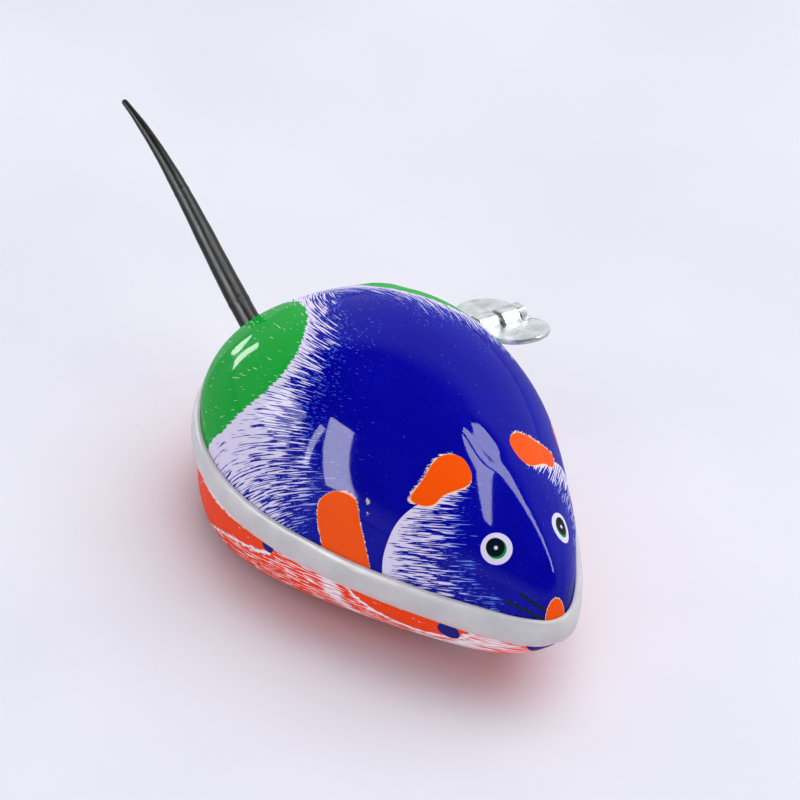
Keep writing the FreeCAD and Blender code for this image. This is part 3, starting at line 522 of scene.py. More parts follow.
def colour(red, green, blue):
    """A screen colour from 0 to 255 as the linear colour that Blender wants."""
    linear = [(part / 255 / 12.92 if part <= 10 else ((part / 255 + 0.055) / 1.055) ** 2.4)
              for part in (red, green, blue)]
    return (*linear, 1.0)


class Nodes:
    """Shorthand for wiring the nodes of one tree."""

    def __init__(self, tree):
        self.tree = tree

    def plug(self, value, socket):
        if isinstance(value, bpy.types.NodeSocket):
            self.tree.links.new(value, socket)
        else:
            socket.default_value = value

    def add(self, kind, inputs, **settings):
        node = self.tree.nodes.new("ShaderNode" + kind)
        for name, value in settings.items():
            setattr(node, name, value)
        for name, value in inputs.items():
            self.plug(value, node.inputs[name])
        return node

    def math(self, operation, *values):
        node = self.add("Math", {}, operation=operation)
        for socket, value in zip(node.inputs, values):
            self.plug(value, socket)
        return node.outputs[0]

    def vector(self, operation, *values):
        node = self.add("VectorMath", {}, operation=operation)
        for socket, value in zip(node.inputs, values):
            self.plug(value, socket)
        return node.outputs["Value" if operation in ("LENGTH", "DISTANCE", "DOT_PRODUCT") else "Vector"]

    def scaled(self, vector, factor):
        node = self.add("VectorMath", {"Vector": vector, "Scale": factor}, operation="SCALE")
        return node.outputs["Vector"]

    def step(self, value, low, high):
        """0 below low, 1 above high, smooth between.  With low above high it falls instead."""
        node = self.add("MapRange", {"Value": value, "From Min": low, "From Max": high},
                        interpolation_type="SMOOTHSTEP")
        return node.outputs["Result"]

    def ramp(self, value, stops):
        """A run of straight lines through (value, result) stops."""
        result = stops[0][1]
        for (low, before), (high, after) in zip(stops, stops[1:]):
            node = self.add("MapRange", {"Value": value, "From Min": low, "From Max": high,
                                         "To Min": 0.0, "To Max": after - before})
            result = self.math("ADD", result, node.outputs["Result"])
        return result


class Finish(Nodes):
    """A material, and the colour that has been laid on it so far."""

    def __init__(self, name, sockets, tint):
        self.material = bpy.data.materials.new(name)
        self.material.use_nodes = True
        super().__init__(self.material.node_tree)
        self.tint = tint
        self.set(sockets)

    def set(self, sockets):
        shader = self.tree.nodes["Principled BSDF"]
        for name, value in sockets.items():
            self.plug(value, shader.inputs[name])

    def blend(self, below, above, value, low, high, share=1.0):
        """One colour over another where a value passes from low to high, covering at most a share."""
        cover = self.math("MULTIPLY", self.step(value, low, high), share)
        node = self.add("Mix", {}, data_type="RGBA")
        for index, part in ((0, cover), (6, below), (7, above)):
            self.plug(part, node.inputs[index])
        return node.outputs[2]

    def lay(self, tint, value, low, high, share=1.0):
        """Print a colour over all that is there."""
        self.tint = self.blend(self.tint, tint, value, low, high, share)

    def done(self, normal, **sockets):
        self.set({"Base Color": self.tint, "Normal": normal, **sockets})
        return self.material

    def attribute(self, name, vector=False):
        node = self.add("Attribute", {}, attribute_name=name)
        return node.outputs["Vector" if vector else "Fac"]

    def object_mm(self):
        """The place on the object, in millimetres."""
        return self.scaled(self.add("TexCoord", {}).outputs["Object"], 1 / MM)

    def noise(self, place, size, detail=2.0, roughness=0.5, seed=0.0):
        """Noise whose grain is a size in millimetres, or a triple of them."""
        sizes = size if isinstance(size, tuple) else (size, size, size)
        grain = self.vector("MULTIPLY", place, tuple(1 / one for one in sizes))
        moved = self.vector("ADD", grain, (seed, seed * 1.7, seed * 0.6))
        node = self.add("TexNoise", {"Vector": moved, "Scale": 1.0, "Detail": detail, "Roughness": roughness})
        return node.outputs["Fac"]

    def bump(self, height, depth, strength=1.0):
        """Relief whose full height is a depth in millimetres."""
        inputs = {"Height": height, "Distance": depth * MM, "Strength": strength}
        return self.add("Bump", inputs).outputs["Normal"]


BLUE = colour(3, 2, 148)
BLUE_LIGHT = colour(16, 24, 200)
BLUE_SPECK = colour(92, 132, 232)
LAVENDER = colour(224, 216, 242)
CREAM = colour(238, 214, 178)
GREEN = colour(2, 162, 52)
GREEN_LIGHT = colour(60, 186, 92)
GREEN_FLECK = colour(176, 222, 176)
ORANGE = colour(252, 84, 6)
ORANGE_LIGHT = colour(255, 140, 60)
EYE_DARK = colour(8, 22, 34)
EYE_GREEN = colour(24, 140, 62)
WHISKER = colour(10, 30, 42)
PAN_ORANGE = colour(244, 64, 16)
PAN_ORANGE_LIGHT = colour(252, 118, 60)
PAN_WHITE = colour(238, 236, 244)
PAW_BLUE = colour(30, 28, 120)
BARE_METAL = colour(196, 184, 158)

# The eye: its middle in plan, then discs as (shift from the middle, radius, softness, colour).
EYE = (29.8, 5.4)
EYE_DISCS = [((0, 0, 0), 2.2, 0.04, LAVENDER), ((0, 0, 0), 1.4, 0.04, EYE_GREEN),
             ((-0.26, 0.04, 0.1), 1.3, 0.04, EYE_DARK), ((-0.1, 0.05, 0.12), 0.27, 0.07, LAVENDER)]
# Whiskers and nose as seen from ahead.  A whisker is the (across, up) where it starts and ends.
WHISKERS = [((1.6, 13.6), (5.6, 15.5)), ((1.5, 14.9), (4.1, 16.9))]
WHISKER_HALF = 0.23
NOSE_UP, NOSE_HALF_WIDTH, NOSE_HALF_HEIGHT = 13.3, 1.55, 3.1
FACE_FRONT = (30.0, 32.0)
# Paint chips behind the arm, and the pan's round paws as (x, length down, radius).
CHIPS = [(13.4, -15.9, 22.6), (14.3, -16.4, 21.2)]
PAWS = [(0.1, 2.8, 1.1), (27.4, 3.6, 1.4)]

VARNISH = {"Roughness": 0.4, "Specular IOR Level": 0.0, "Coat Weight": 0.21, "Coat Roughness": 0.05,
           "Coat IOR": 1.5}
PRINT_GRAIN = 0.16
STROKE_EDGE = (-0.012, 0.02)


def near_segment(finish, place, start, end):
    """Distance to a straight line between two points."""
    start, end = Vector(start), Vector(end)
    run = end - start
    offset = finish.vector("SUBTRACT", place, tuple(start))
    share = finish.math("DIVIDE", finish.vector("DOT_PRODUCT", offset, tuple(run)), run.length_squared)
    share = finish.add("Clamp", {"Value": share}).outputs["Result"]
    return finish.vector("DISTANCE", offset, finish.scaled(tuple(run), share))


def varnish_relief(finish, place):
    """The faint ripple of varnish on pressed tin."""
    broad = finish.math("MULTIPLY", finish.noise(place, 5.0, 1.0), 0.9)
    fine = finish.noise(place, 0.5, 2.0, seed=3.0)
    return finish.bump(finish.math("MULTIPLY_ADD", fine, 0.1, broad), 0.03)


def toothed(finish, distance, fur, size, depth, seed):
    """The distance inside a patch, with teeth along the fur."""
    teeth = finish.noise(fur, size, 2.0, seed=seed)
    return finish.math("MULTIPLY_ADD", finish.math("SUBTRACT", teeth, 0.5), depth, distance)


def lay_fur(finish, dome_grain):
    """The dome's light blue dashes and white hairs, on the back and then on the face."""
    back, face = finish.attribute("back_fur", True), finish.attribute("face_fur", True)
    ruff, cheek = finish.attribute("ruff"), finish.attribute("cheek")
    edge = finish.step(finish.attribute("cheek_edge"), -0.04, 0.04)
    for fur, seed, share, stops, where in (
            (back, 11.0, ruff, [(0.8, 0.68), (1.2, 0.79), (1.7, 0.86), (3.0, 0.90)], 1.0),
            (face, 17.0, cheek, [(0.8, 0.72), (1.2, 0.82), (1.8, 0.92)], edge)):
        dash = finish.noise(fur, (0.6, 0.09, 1.0), 0.0, seed=seed)
        finish.lay(BLUE_SPECK, finish.math("SUBTRACT", dash, finish.ramp(share, stops)), 0.0, 0.03, where)

    # A higher limit leaves fewer hairs.
    back_limit = finish.math(
        "ADD",
        finish.ramp(ruff, [(0.0, 0.30), (0.12, 0.40), (0.4, 0.50), (0.8, 0.60), (1.0, 0.69), (1.3, 0.9)]),
        finish.ramp(finish.attribute("height"), [(0.0, -0.09), (10.0, -0.05), (20.0, 0.02), (30.0, 0.04)]))
    face_limit = finish.ramp(cheek, [(0.0, 0.26), (0.1, 0.41), (0.4, 0.52), (0.8, 0.58), (1.0, 0.66),
                                     (1.3, 0.86)])
    for stroke, limit, share, tips, where in (
            (finish.noise(back, (4.2, 0.22, 1.0), 1.2, 0.45), back_limit, ruff, (0.75, 1.1), 1.0),
            (finish.noise(face, (2.6, 0.2, 1.0), 1.5, 0.5, 7.0), face_limit, cheek, (0.6, 1.0), edge)):
        hair = finish.blend(LAVENDER, BLUE_SPECK, share, *tips)
        finish.lay(hair, finish.math("SUBTRACT", stroke, limit), *STROKE_EDGE, where)

    haunch = toothed(finish, finish.attribute("haunch"), back, (1.6, 0.26, 1.0), 1.9, 23.0)
    flecks = finish.noise(back, (1.1, 0.16, 1.0), 0.0, seed=29.0)
    green = finish.blend(GREEN, GREEN_LIGHT, dome_grain, 0.45, 0.8, 0.35)
    finish.lay(finish.blend(green, GREEN_FLECK, flecks, 0.78, 0.81), haunch, -0.05, 0.05)

    for name, fringe in (("arm", 0.2), ("ear", finish.math("MULTIPLY", finish.attribute("ear_fringe"), 0.4))):
        inside = finish.attribute(name)
        spikes = finish.noise(face, (0.55, 0.2, 1.0), 1.0, seed=31.0)
        margin = finish.math("MULTIPLY", finish.step(spikes, 0.36, 0.66), fringe)
        finish.lay(CREAM, finish.math("ADD", inside, margin), -0.03, 0.03)
        finish.lay(finish.blend(ORANGE, ORANGE_LIGHT, dome_grain, 0.5, 0.8, 0.25), inside, -0.03, 0.03)


def lay_face(finish, place):
    """The eyes, whiskers and nose.  Both sides are alike, so Y is taken without its sign."""
    parts = finish.add("SeparateXYZ", {"Vector": place}).outputs
    across = finish.math("ABSOLUTE", parts["Y"])
    folded = finish.add("CombineXYZ", {"X": parts["X"], "Y": across, "Z": parts["Z"]}).outputs["Vector"]
    angle = math.acos(-EYE[0] / HALF_LENGTH)
    share = (EYE[1] / float(swelled(OUTLINE, angle))) ** (DOME_POWER / 2)
    middle = pressed_dome_at(np.array([angle]), np.array([math.pi - math.acos(share)]))[0]
    for shift, radius, soft, tint in EYE_DISCS:
        gap = finish.vector("DISTANCE", folded, tuple(middle + np.array(shift)))
        finish.lay(tint, gap, radius + soft, radius - soft)

    front = finish.step(parts["X"], *FACE_FRONT)
    from_ahead = finish.vector("MULTIPLY", folded, (0.0, 1.0, 1.0))
    for start, end in WHISKERS:
        gap = near_segment(finish, from_ahead, (0.0, *start), (0.0, *end))
        finish.lay(WHISKER, gap, WHISKER_HALF + 0.03, WHISKER_HALF - 0.03, front)

    offset = finish.vector("SUBTRACT", from_ahead, (0.0, 0.0, NOSE_UP))
    offset = finish.vector("MULTIPLY", offset, (0.0, 1 / NOSE_HALF_WIDTH, 1 / NOSE_HALF_HEIGHT))
    spot = finish.math("SUBTRACT", 1.0, finish.vector("DOT_PRODUCT", offset, offset))
    spikes = finish.noise(place, (0.2, 0.2, 0.5), 1.0)
    finish.lay(CREAM, finish.math("MULTIPLY_ADD", spikes, 0.3, spot), 0.05, 0.1, front)
    finish.lay(ORANGE, spot, -0.02, 0.03, front)


def dome_material():
    finish = Finish("blue_litho", VARNISH, BLUE)
    place = finish.object_mm()
    grain = finish.noise(place, PRINT_GRAIN, 2.0, 0.7)
    drift = finish.noise(place, 9.0, 2.0, seed=5.0)
    finish.lay(BLUE_LIGHT, grain, 0.45, 0.75, finish.step(drift, 0.2, 0.8))
    lay_fur(finish, grain)
    lay_face(finish, place)
    ragged = finish.noise(place, 0.35, 2.0, seed=41.0)
    for centre in CHIPS:
        gap = finish.vector("DISTANCE", place, centre)
        finish.lay(BARE_METAL, finish.math("MULTIPLY_ADD", ragged, 0.9, gap), 0.82, 0.74)
    return finish.done(varnish_relief(finish, place))


def pan_material():
    finish = Finish("orange_litho", VARNISH, PAN_ORANGE)
    place = finish.object_mm()
    fur = finish.attribute("pan_fur", True)
    depth = finish.attribute("depth")
    grain = finish.noise(place, PRINT_GRAIN, 2.0, 0.7)
    finish.lay(PAN_ORANGE_LIGHT, grain, 0.45, 0.8, 0.3)
    orange = finish.tint
    stroke = finish.noise(fur, (3.0, 0.24, 1.0), 1.5, 0.5)
    near_arc = finish.step(finish.attribute("fur_arc"), 2.0, 0.2)
    limit = finish.ramp(depth, [(0.0, 0.53), (9.0, 0.57), (20.0, 0.66)])
    limit = finish.math("MULTIPLY_ADD", near_arc, -0.13, limit)
    finish.lay(PAN_WHITE, finish.math("SUBTRACT", stroke, limit), *STROKE_EDGE)

    legs = toothed(finish, finish.attribute("legs"), fur, (1.5, 0.3, 1.0), 1.4, 5.0)
    finish.lay(PAN_WHITE, legs, -0.5, -0.42)
    flecks = finish.noise(fur, (0.7, 0.25, 1.0), 1.0, seed=13.0)
    finish.lay(finish.blend(orange, PAN_WHITE, flecks, 0.72, 0.75), legs, -0.05, 0.05)

    x = finish.add("SeparateXYZ", {"Vector": place}).outputs["X"]
    on_chart = finish.add("CombineXYZ", {"X": x, "Y": depth}).outputs["Vector"]
    for along, down, radius in PAWS:
        gap = finish.vector("DISTANCE", on_chart, (along, down, 0.0))
        finish.lay(PAW_BLUE, gap, radius + 0.05, radius - 0.05)
    finish.lay(PAW_BLUE, x, CHIN - 0.05, CHIN + 0.05)
    return finish.done(varnish_relief(finish, place))


def guard_material():
    """Frosted soft plastic, a little yellowed and greyed where it is thick, with a painted pinkish glow from
    the orange pan low down.
    """
    finish = Finish("frosted_guard", {"IOR": 1.46, "Transmission Weight": 0.28, "Subsurface Weight": 0.35,
                                      "Subsurface Radius": (1.0, 1.0, 1.1), "Subsurface Scale": MM,
                                      "Specular IOR Level": 0.45}, colour(216, 214, 217))
    place = finish.object_mm()
    finish.lay(colour(226, 224, 227), finish.noise(place, 4.0, 3.0), 0.35, 0.65)
    finish.lay(colour(204, 204, 209), finish.noise(place, (1.6, 1.6, 0.5), 2.0, seed=4.0), 0.5, 0.75, 0.3)
    up = finish.add("SeparateXYZ", {"Vector": place}).outputs["Z"]
    # Painted glow: below the seam the strip is tinted pink, standing in for the orange pan's light seen
    # through the frosted plastic.
    finish.lay(colour(236, 190, 180), up, 11.2, 9.2, 0.35)
    rough = finish.math("MULTIPLY_ADD", finish.noise(place, 1.2, 2.0, seed=2.0), 0.2, 0.26)
    fine = finish.noise(place, 0.12, 2.0, seed=9.0)
    height = finish.math("MULTIPLY_ADD", fine, 0.25, finish.noise(place, (2.5, 2.5, 0.8), 2.0))
    return finish.done(finish.bump(height, 0.05), Roughness=rough)


def tail_material():
    """Black moulded plastic with a satin skin and fine lengthwise scratches."""
    finish = Finish("black_plastic", {"Specular IOR Level": 0.2}, colour(5, 5, 6))
    place = finish.object_mm()
    scratch = finish.noise(finish.attribute("run", True), (9.0, 0.12, 0.12), 2.0, 0.6)
    cloud = finish.noise(place, 3.0, 3.0, seed=6.0)
    dust = finish.noise(place, 0.3, 1.0, seed=8.0)
    finish.lay(colour(10, 10, 12), cloud, 0.3, 0.7)
    finish.lay(colour(26, 26, 29), scratch, 0.62, 0.72, 0.25)
    finish.lay(colour(120, 104, 84), dust, 0.76, 0.8)
    height = finish.math("MULTIPLY_ADD", scratch, 0.4, cloud)
    return finish.done(finish.bump(height, 0.015), Roughness=finish.math("MULTIPLY_ADD", cloud, 0.22, 0.22))


def metal_material(name, light, dark, rough, grain, streak=(6.0, 0.15, 6.0)):
    """Sheet or turned metal: rolled streaks, clouded plating, small stains and scratches."""
    finish = Finish(name, {"Metallic": 1.0}, dark)
    place = finish.object_mm()
    cloud = finish.noise(place, grain, 4.0, 0.6)
    rolled = finish.noise(place, streak, 2.0, seed=3.0)
    stain = finish.noise(place, 0.5, 3.0, 0.7, seed=7.0)
    finish.lay(light, cloud, 0.3, 0.72)
    finish.lay((*(0.45 * part for part in dark[:3]), 1.0), stain, 0.62, 0.78, 0.45)
    uneven = finish.math("MULTIPLY_ADD", rolled, 0.6, finish.math("MULTIPLY", cloud, 0.4))
    roughness = finish.math("MULTIPLY_ADD", uneven, 0.25, rough - 0.125)
    return finish.done(finish.bump(rolled, 0.006), Roughness=roughness)


def plastic_material(name, light, dark, rough):
    """Moulded plastic with faint flow marks and scuffs."""
    finish = Finish(name, {"Specular IOR Level": 0.5}, dark)
    place = finish.object_mm()
    cloud = finish.noise(place, 2.5, 3.0)
    scuff = finish.noise(place, (0.2, 1.4, 0.2), 2.0, seed=4.0)
    finish.lay(light, cloud, 0.3, 0.7)
    finish.lay((*(min(1.0, 1.5 * part + 0.02) for part in light[:3]), 1.0), scuff, 0.64, 0.74, 0.5)
    roughness = finish.math("MULTIPLY_ADD", cloud, 0.2, rough - 0.1)
    return finish.done(finish.bump(scuff, 0.01), Roughness=roughness)


def rubber_material():
    """Dull black rubber, dusty where it rolls."""
    finish = Finish("tyre_rubber", {"Specular IOR Level": 0.3}, colour(22, 22, 23))
    place = finish.object_mm()
    grit = finish.noise(place, 0.18, 2.0, seed=5.0)
    finish.lay(colour(42, 42, 43), finish.noise(place, 1.5, 4.0, 0.7), 0.3, 0.7)
    finish.lay(colour(96, 92, 86), grit, 0.6, 0.8, 0.4)
    return finish.done(finish.bump(grit, 0.03), Roughness=finish.math("MULTIPLY_ADD", grit, 0.2, 0.62))


# ---- edge guard, tail and key -----------------------------------------------------------------------------

# The strip's half height, the offsets of its lips and bulge, the gap at the tail, and the groove for the seam.
GUARD_HALF = 2.22
GUARD_LIP = 0.3
GUARD_BULGE = 1.13
GUARD_GAP = 2.0
GUARD_STATIONS = 420
GROOVE_REACH = 0.74
GROOVE_HALF = 0.44
WALL_GAP = 0.04


def guard_profile():
    """The strip's closed section as (offset from the wall, height about the seam)."""
    outer = []
    for step in range(15):
        turn = math.radians(-78 + 156 * step / 14)
        bulge = (GUARD_BULGE - GUARD_LIP) * math.cos(turn) ** 0.9
        outer.append((GUARD_LIP + bulge, GUARD_HALF * math.sin(turn)))
    upper = [(0.36, GUARD_HALF - 0.03), (0.22, GUARD_HALF), (0.1, GUARD_HALF - 0.03),
             (WALL_GAP, GUARD_HALF - 0.12), (WALL_GAP, 1.3), (WALL_GAP, GROOVE_HALF),
             (GROOVE_REACH, GROOVE_HALF)]
    lower = [(offset, -height) for offset, height in upper[::-1]]
    return outer + upper + lower


def retreat(angles, height):
    """How far the tin has drawn in from its outline, at one height above or below the seam."""
    factors, power = (DOME, DOME_POWER) if height > 0 else (PAN, PAN_POWER)
    near, far = np.zeros_like(angles), np.full_like(angles, 3.0)
    for _ in range(22):
        middle = (near + far) / 2
        place = outline_points(angles, -middle, SEAM)
        station = np.arccos(np.clip(-place[:, 0] / HALF_LENGTH, -1, 1))
        across = np.clip(np.abs(place[:, 1]) / np.maximum(swelled(OUTLINE, station), 1e-6), 0, 1)
        rise = swelled(factors, station) * (1 - across ** power) ** (1 / power)
        outside = rise < abs(height)
        near, far = np.where(outside, middle, near), np.where(outside, far, middle)
    return near


def make_guard():
    """The strip is swept round the seam and hugs the tin, and its two ends meet at the tail."""
    profile = guard_profile()
    start = GUARD_GAP / OUTLINE[0]
    for _ in range(20):
        start *= GUARD_GAP / abs(float(swelled(OUTLINE, np.array(start))))
    angles = np.linspace(start, 2 * math.pi - start, GUARD_STATIONS)
    wave = 0.05 * np.sin(5 * angles + 0.4) + 0.035 * np.sin(13 * angles + 2.1) + 0.02 * np.sin(29 * angles)
    lip = 0.05 * np.sin(7 * angles + 1.0) + 0.03 * np.sin(17 * angles + 0.3)
    rings = []
    for offset, height in profile:
        outer = 1.0 if offset > GUARD_LIP and abs(height) != GROOVE_HALF else 0.0
        stretch = lip * abs(height) / GUARD_HALF
        hug = retreat(angles, height) if abs(height) > GROOVE_HALF else 0.0
        rings.append(outline_points(angles, offset - hug + outer * wave * (offset / GUARD_BULGE), SEAM)
                     + np.stack([0 * angles, 0 * angles, height + np.sign(height) * stretch], -1))
    points = np.stack(rings, axis=1).reshape(-1, 3)
    return make_piece("edge_guard_strip", points, tube_faces(GUARD_STATIONS, len(profile)), 50)


TAIL_CURVE = [(-35.4, 0.0, 12.75), (-50.1, 0.0, 18.0), (-61.5, 0.0, 28.85), (-77.6, 0.0, 31.7)]
TAIL_RADIUS = 1.68
TAIL_TIP = 0.45
TAIL_FULLNESS = 1.9
TAIL_RINGS = 150
TAIL_SIDES = 40


def cubic(share):
    """The tail's centreline and its direction."""
    first, second, third, fourth = (np.array(point) for point in TAIL_CURVE)
    rest = 1 - share
    place = rest**3 * first + 3 * rest**2 * share * second + 3 * rest * share**2 * third + share**3 * fourth
    slope = (3 * rest**2 * (second - first) + 6 * rest * share * (third - second)
             + 3 * share**2 * (fourth - third))
    return place, slope / np.linalg.norm(slope)


def make_tail():
    """A round tapering tail with two faint mould rings, a shoulder inside the shell and a round tip."""
    start, direction = cubic(0.0)
    shoulder = ((0.4, 0.6), (0.4, 2.3), (0.3, 2.5), (-0.3, 2.5), (-0.4, 2.3), (-0.42, 1.6))
    stations = [(start - direction * back, direction, radius) for back, radius in shoulder]
    for step in range(TAIL_RINGS + 1):
        share = 0.02 + 0.98 * step / TAIL_RINGS
        place, slope = cubic(share)
        radius = TAIL_TIP + (TAIL_RADIUS - TAIL_TIP) * (1 - share**TAIL_FULLNESS)
        ring = sum(rise * math.exp(-((share - at) / spread) ** 2)
                   for at, rise, spread in ((0.2, 0.07, 0.006), (0.62, 0.05, 0.005)))
        swell = 0.012 * math.sin(31 * share) + 0.01 * math.sin(57 * share + 1)
        stations.append((place, slope, radius + ring + swell))
    tip, slope = cubic(1.0)
    for turn in (0.35, 0.7, 1.0, 1.3, 1.5):
        stations.append((tip + slope * TAIL_TIP * math.sin(turn), slope, TAIL_TIP * math.cos(turn)))
    points, faces = sweep(stations, TAIL_SIDES)
    tail = make_piece("tail_rod", points, faces, 60)
    x, y, z = mesh_points(tail.data).T
    along = np.linalg.norm(mesh_points(tail.data) - start, axis=1)
    line = np.array([cubic(share)[0] for share in np.linspace(0, 1, 40)])
    turn = np.arctan2(y, z - np.interp(-x, -line[:, 0], line[:, 2]))
    set_attribute(tail.data, "run", np.stack([along, np.cos(turn), np.sin(turn)], -1))
    return tail


# The key's place along the arbor, the radius of its wings, how far out their middles stand, its turn at rest,
# its half thickness, the rounding of its rim, and the bore and wall of the strips round the arbor.
KEY_Y = 27.5
KEY_RADIUS = 4.6
KEY_OFFSET = 4.2
KEY_TURN = -13.0
KEY_HALF = 0.4
KEY_ROUND = 0.24
KEY_BORE = 1.25
SLEEVE_WALL = 0.62
# Strips of the key's middle along the arbor: start, end, over (+1) or under (-1), and lift at the outer end.
KEY_STRIPS = [(23.0, 26.05, 1, 0.0), (26.15, 26.75, -1, 0.0), (26.85, 29.7, 1, 0.0), (29.78, 30.9, 1, 0.16)]


def wing(side):
    """One wing: most of a disc with a straight inner edge, a rounded rim and a slightly dished face."""
    chord = (KEY_OFFSET - KEY_BORE) / KEY_RADIUS
    open_turn = math.acos(chord)
    arc = np.linspace(math.pi - open_turn, -(math.pi - open_turn), 72)
    border = [(KEY_OFFSET + KEY_RADIUS * math.cos(turn), KEY_RADIUS * math.sin(turn)) for turn in arc]
    border += [(KEY_BORE, y) for y in np.linspace(border[-1][1], border[0][1], 18)[1:-1]]
    border = np.array(border)
    centre = np.array([KEY_OFFSET, 0.0])
    layers = [(0.0, 0.0), (0.03, 0.55), (0.1, 0.85), (KEY_ROUND, 1.0)]
    layers += [(inset, 0.93) for inset in (0.6, 1.2, 2.0, 3.0)]
    sections = [(inset, -level) for inset, level in layers[::-1]] + layers[1:]
    points = []
    for inset, level in sections:
        reach = np.linalg.norm(border - centre, axis=1, keepdims=True)
        ring = centre + (border - centre) * (1 - inset / np.maximum(reach, KEY_OFFSET - KEY_BORE + 1.2))
        lift = 0.12 * (np.abs(ring[:, 0]) / (KEY_OFFSET + KEY_RADIUS)) ** 3
        for (across, along), bend in zip(ring, lift):
            points.append((ARBOR[0] + side * across, KEY_Y + along, ARBOR[1] + KEY_HALF * level + bend))
    count = len(border)
    faces = grid_faces(len(sections), count, closed_columns=True)
    for row in (0, len(sections) - 1):
        middle = len(points)
        points.append(tuple(np.mean([points[row * count + step] for step in range(count)], axis=0)))
        faces.extend((row * count + step, row * count + (step + 1) % count, middle) for step in range(count))
    return np.array(points), faces


def strip(start, end, way, lift):
    """One strip bent over or under the arbor, flat on its crown."""
    crown = KEY_BORE + SLEEVE_WALL
    outer = [(-2.35, KEY_HALF * 0.95), (-1.9, 0.62), (-1.62, 1.1), (-1.3, 1.62), (-1.0, crown - 0.06),
             (-0.8, crown)]
    inner = [(-2.35, -KEY_HALF * 0.9), (-1.6, -0.3), (-1.32, 0.2), (-1.12, 0.75), (-0.85, 1.12),
             (-0.6, KEY_BORE + 0.03)]
    outer += [(-across, up) for across, up in outer[::-1]]
    inner += [(-across, up) for across, up in inner[::-1]]
    profile = outer + inner[::-1]
    edge, shrunk = 0.06, 0.972
    rows = [(start, shrunk), (start + edge, 1.0), (end - edge, 1.0), (end, shrunk)]
    centre = np.mean(profile, axis=0)
    points = []
    for y, scale in rows:
        rise = lift * (y - start) / (end - start)
        for across, up in centre + (np.array(profile) - centre) * scale:
            points.append((ARBOR[0] + across, y, ARBOR[1] + way * (up + rise)))
    count = len(profile)
    faces = grid_faces(len(rows), count, closed_columns=True)
    half = count // 2
    for row in (0, len(rows) - 1):
        first = row * count
        for step in range(half - 1):
            faces.append((first + step, first + step + 1, first + count - 2 - step, first + count - 1 - step))
    return np.array(points), faces


def joined_piece(name, parts, sharp=35):
    """One piece from several sets of points and faces."""
    points = []
    faces = []
    for some_points, some_faces in parts:
        first = len(points)
        points.extend(some_points)
        faces.extend(tuple(first + index for index in face) for face in some_faces)
    return make_piece(name, np.array(points), faces, sharp)


def turned_about_arbor(points, degrees):
    """Points turned about the winding arbor, which runs along Y."""
    turn = math.radians(degrees)
    across = points[:, 0] - ARBOR[0]
    up = points[:, 2] - ARBOR[1]
    return np.stack([ARBOR[0] + across * math.cos(turn) + up * math.sin(turn), points[:, 1],
                     ARBOR[1] + up * math.cos(turn) - across * math.sin(turn)], -1)


def make_key():
    """Two wings and the strips between them, turned as the key stands at rest."""
    parts = [wing(side) for side in (-1, 1)]
    parts += [strip(*values) for values in KEY_STRIPS]
    parts = [(turned_about_arbor(np.array(points), KEY_TURN), faces) for points, faces in parts]
    return joined_piece("butterfly_key", parts, 28)


# ---- wheels -----------------------------------------------------------------------------------------------

AXLE = (-20.0, 5.6)
WHEEL_MIDDLE = 9.95
WHEEL_HALF = 1.75
WHEEL_RADIUS = 8.0
TYRE_DEPTH = 1.6
TYRE_BEND = 0.6
TYRE_RIBS = 48
TYRE_GROOVE = 0.012
FRONT_AXLE = (16.0, 0.0, 2.1)
FRONT_RADIUS = 4.5
FRONT_HALF = 2.8


def both_halves(profile):
    """A closed profile of (radius, place) from its half below the middle."""
    return profile + [(radius, -at) for radius, at in profile[::-1]]


def on_axle(side):
    """The middle of one drive wheel."""
    return AXLE[0], side * WHEEL_MIDDLE, AXLE[1]


def make_tyre(name, side):
    """A rubber ring with round shoulders and shallow cross ribs."""
    half = [(WHEEL_RADIUS - TYRE_DEPTH, -WHEEL_HALF)]
    for step in range(5):
        turn = math.radians(-90 + 90 * step / 4)
        half.append((WHEEL_RADIUS - TYRE_BEND * (1 - math.cos(turn)),
                     TYRE_BEND * (1 + math.sin(turn)) - WHEEL_HALF))
    profile = both_halves(half)
    crown = [index for index, (radius, _) in enumerate(profile) if radius > WHEEL_RADIUS - 0.35]

    def ripple(turn, index):
        return -TYRE_GROOVE if index in crown and math.sin(TYRE_RIBS * turn) < -0.2 else 0.0

    return spun(name, profile, TYRE_RIBS * 8, on_axle(side), 40, ripple)


def make_wheel(name, side):
    """A moulded wheel: rim, flat web and boss."""
    half = WHEEL_HALF
    profile = both_halves([
        (1.02, 0.1 - half), (1.12, -half), (2.3, -half), (2.4, 0.1 - half), (2.4, -0.6), (5.1, -0.6),
        (5.4, -0.75), (5.4, 0.12 - half), (5.52, -half), (WHEEL_RADIUS - TYRE_DEPTH, -half)])
    return spun(name, [(radius, side * at) for radius, at in profile], 96, on_axle(side), 30)


def make_front_wheel():
    """A one-piece roller with two raised treads."""
    half = FRONT_HALF
    profile = both_halves([
        (0.66, 0.1 - half), (0.8, -half), (1.7, -half), (1.8, 0.35 - half), (3.2, 0.35 - half), (3.35, -half),
        (4.2, -half), (4.42, 0.1 - half), (FRONT_RADIUS, 0.35 - half), (FRONT_RADIUS, -0.9),
        (FRONT_RADIUS - 0.25, -0.6)])
    return spun("front_roller", profile, 96, FRONT_AXLE, 30)


# ---- build ------------------------------------------------------------------------------------------------

dome = make_dome()
add_dome_chart(dome)
finished(dome, dome_material(), CHASSIS, "blue_litho_tin", "upper_shell")

pan = make_pan()
add_pan_chart(pan)
finished(pan, pan_material(), CHASSIS, "orange_litho_tin", "lower_shell")

finished(make_guard(), guard_material(), CHASSIS, "clear_guard", "edge_guard")
finished(make_tail(), tail_material(), CHASSIS, "black_tail", "tail")

key_steel = metal_material("key_plate", colour(202, 206, 206), colour(160, 166, 168), 0.3, 2.5)
finished(make_key(), key_steel, "winder", "key_steel", "winding_key")

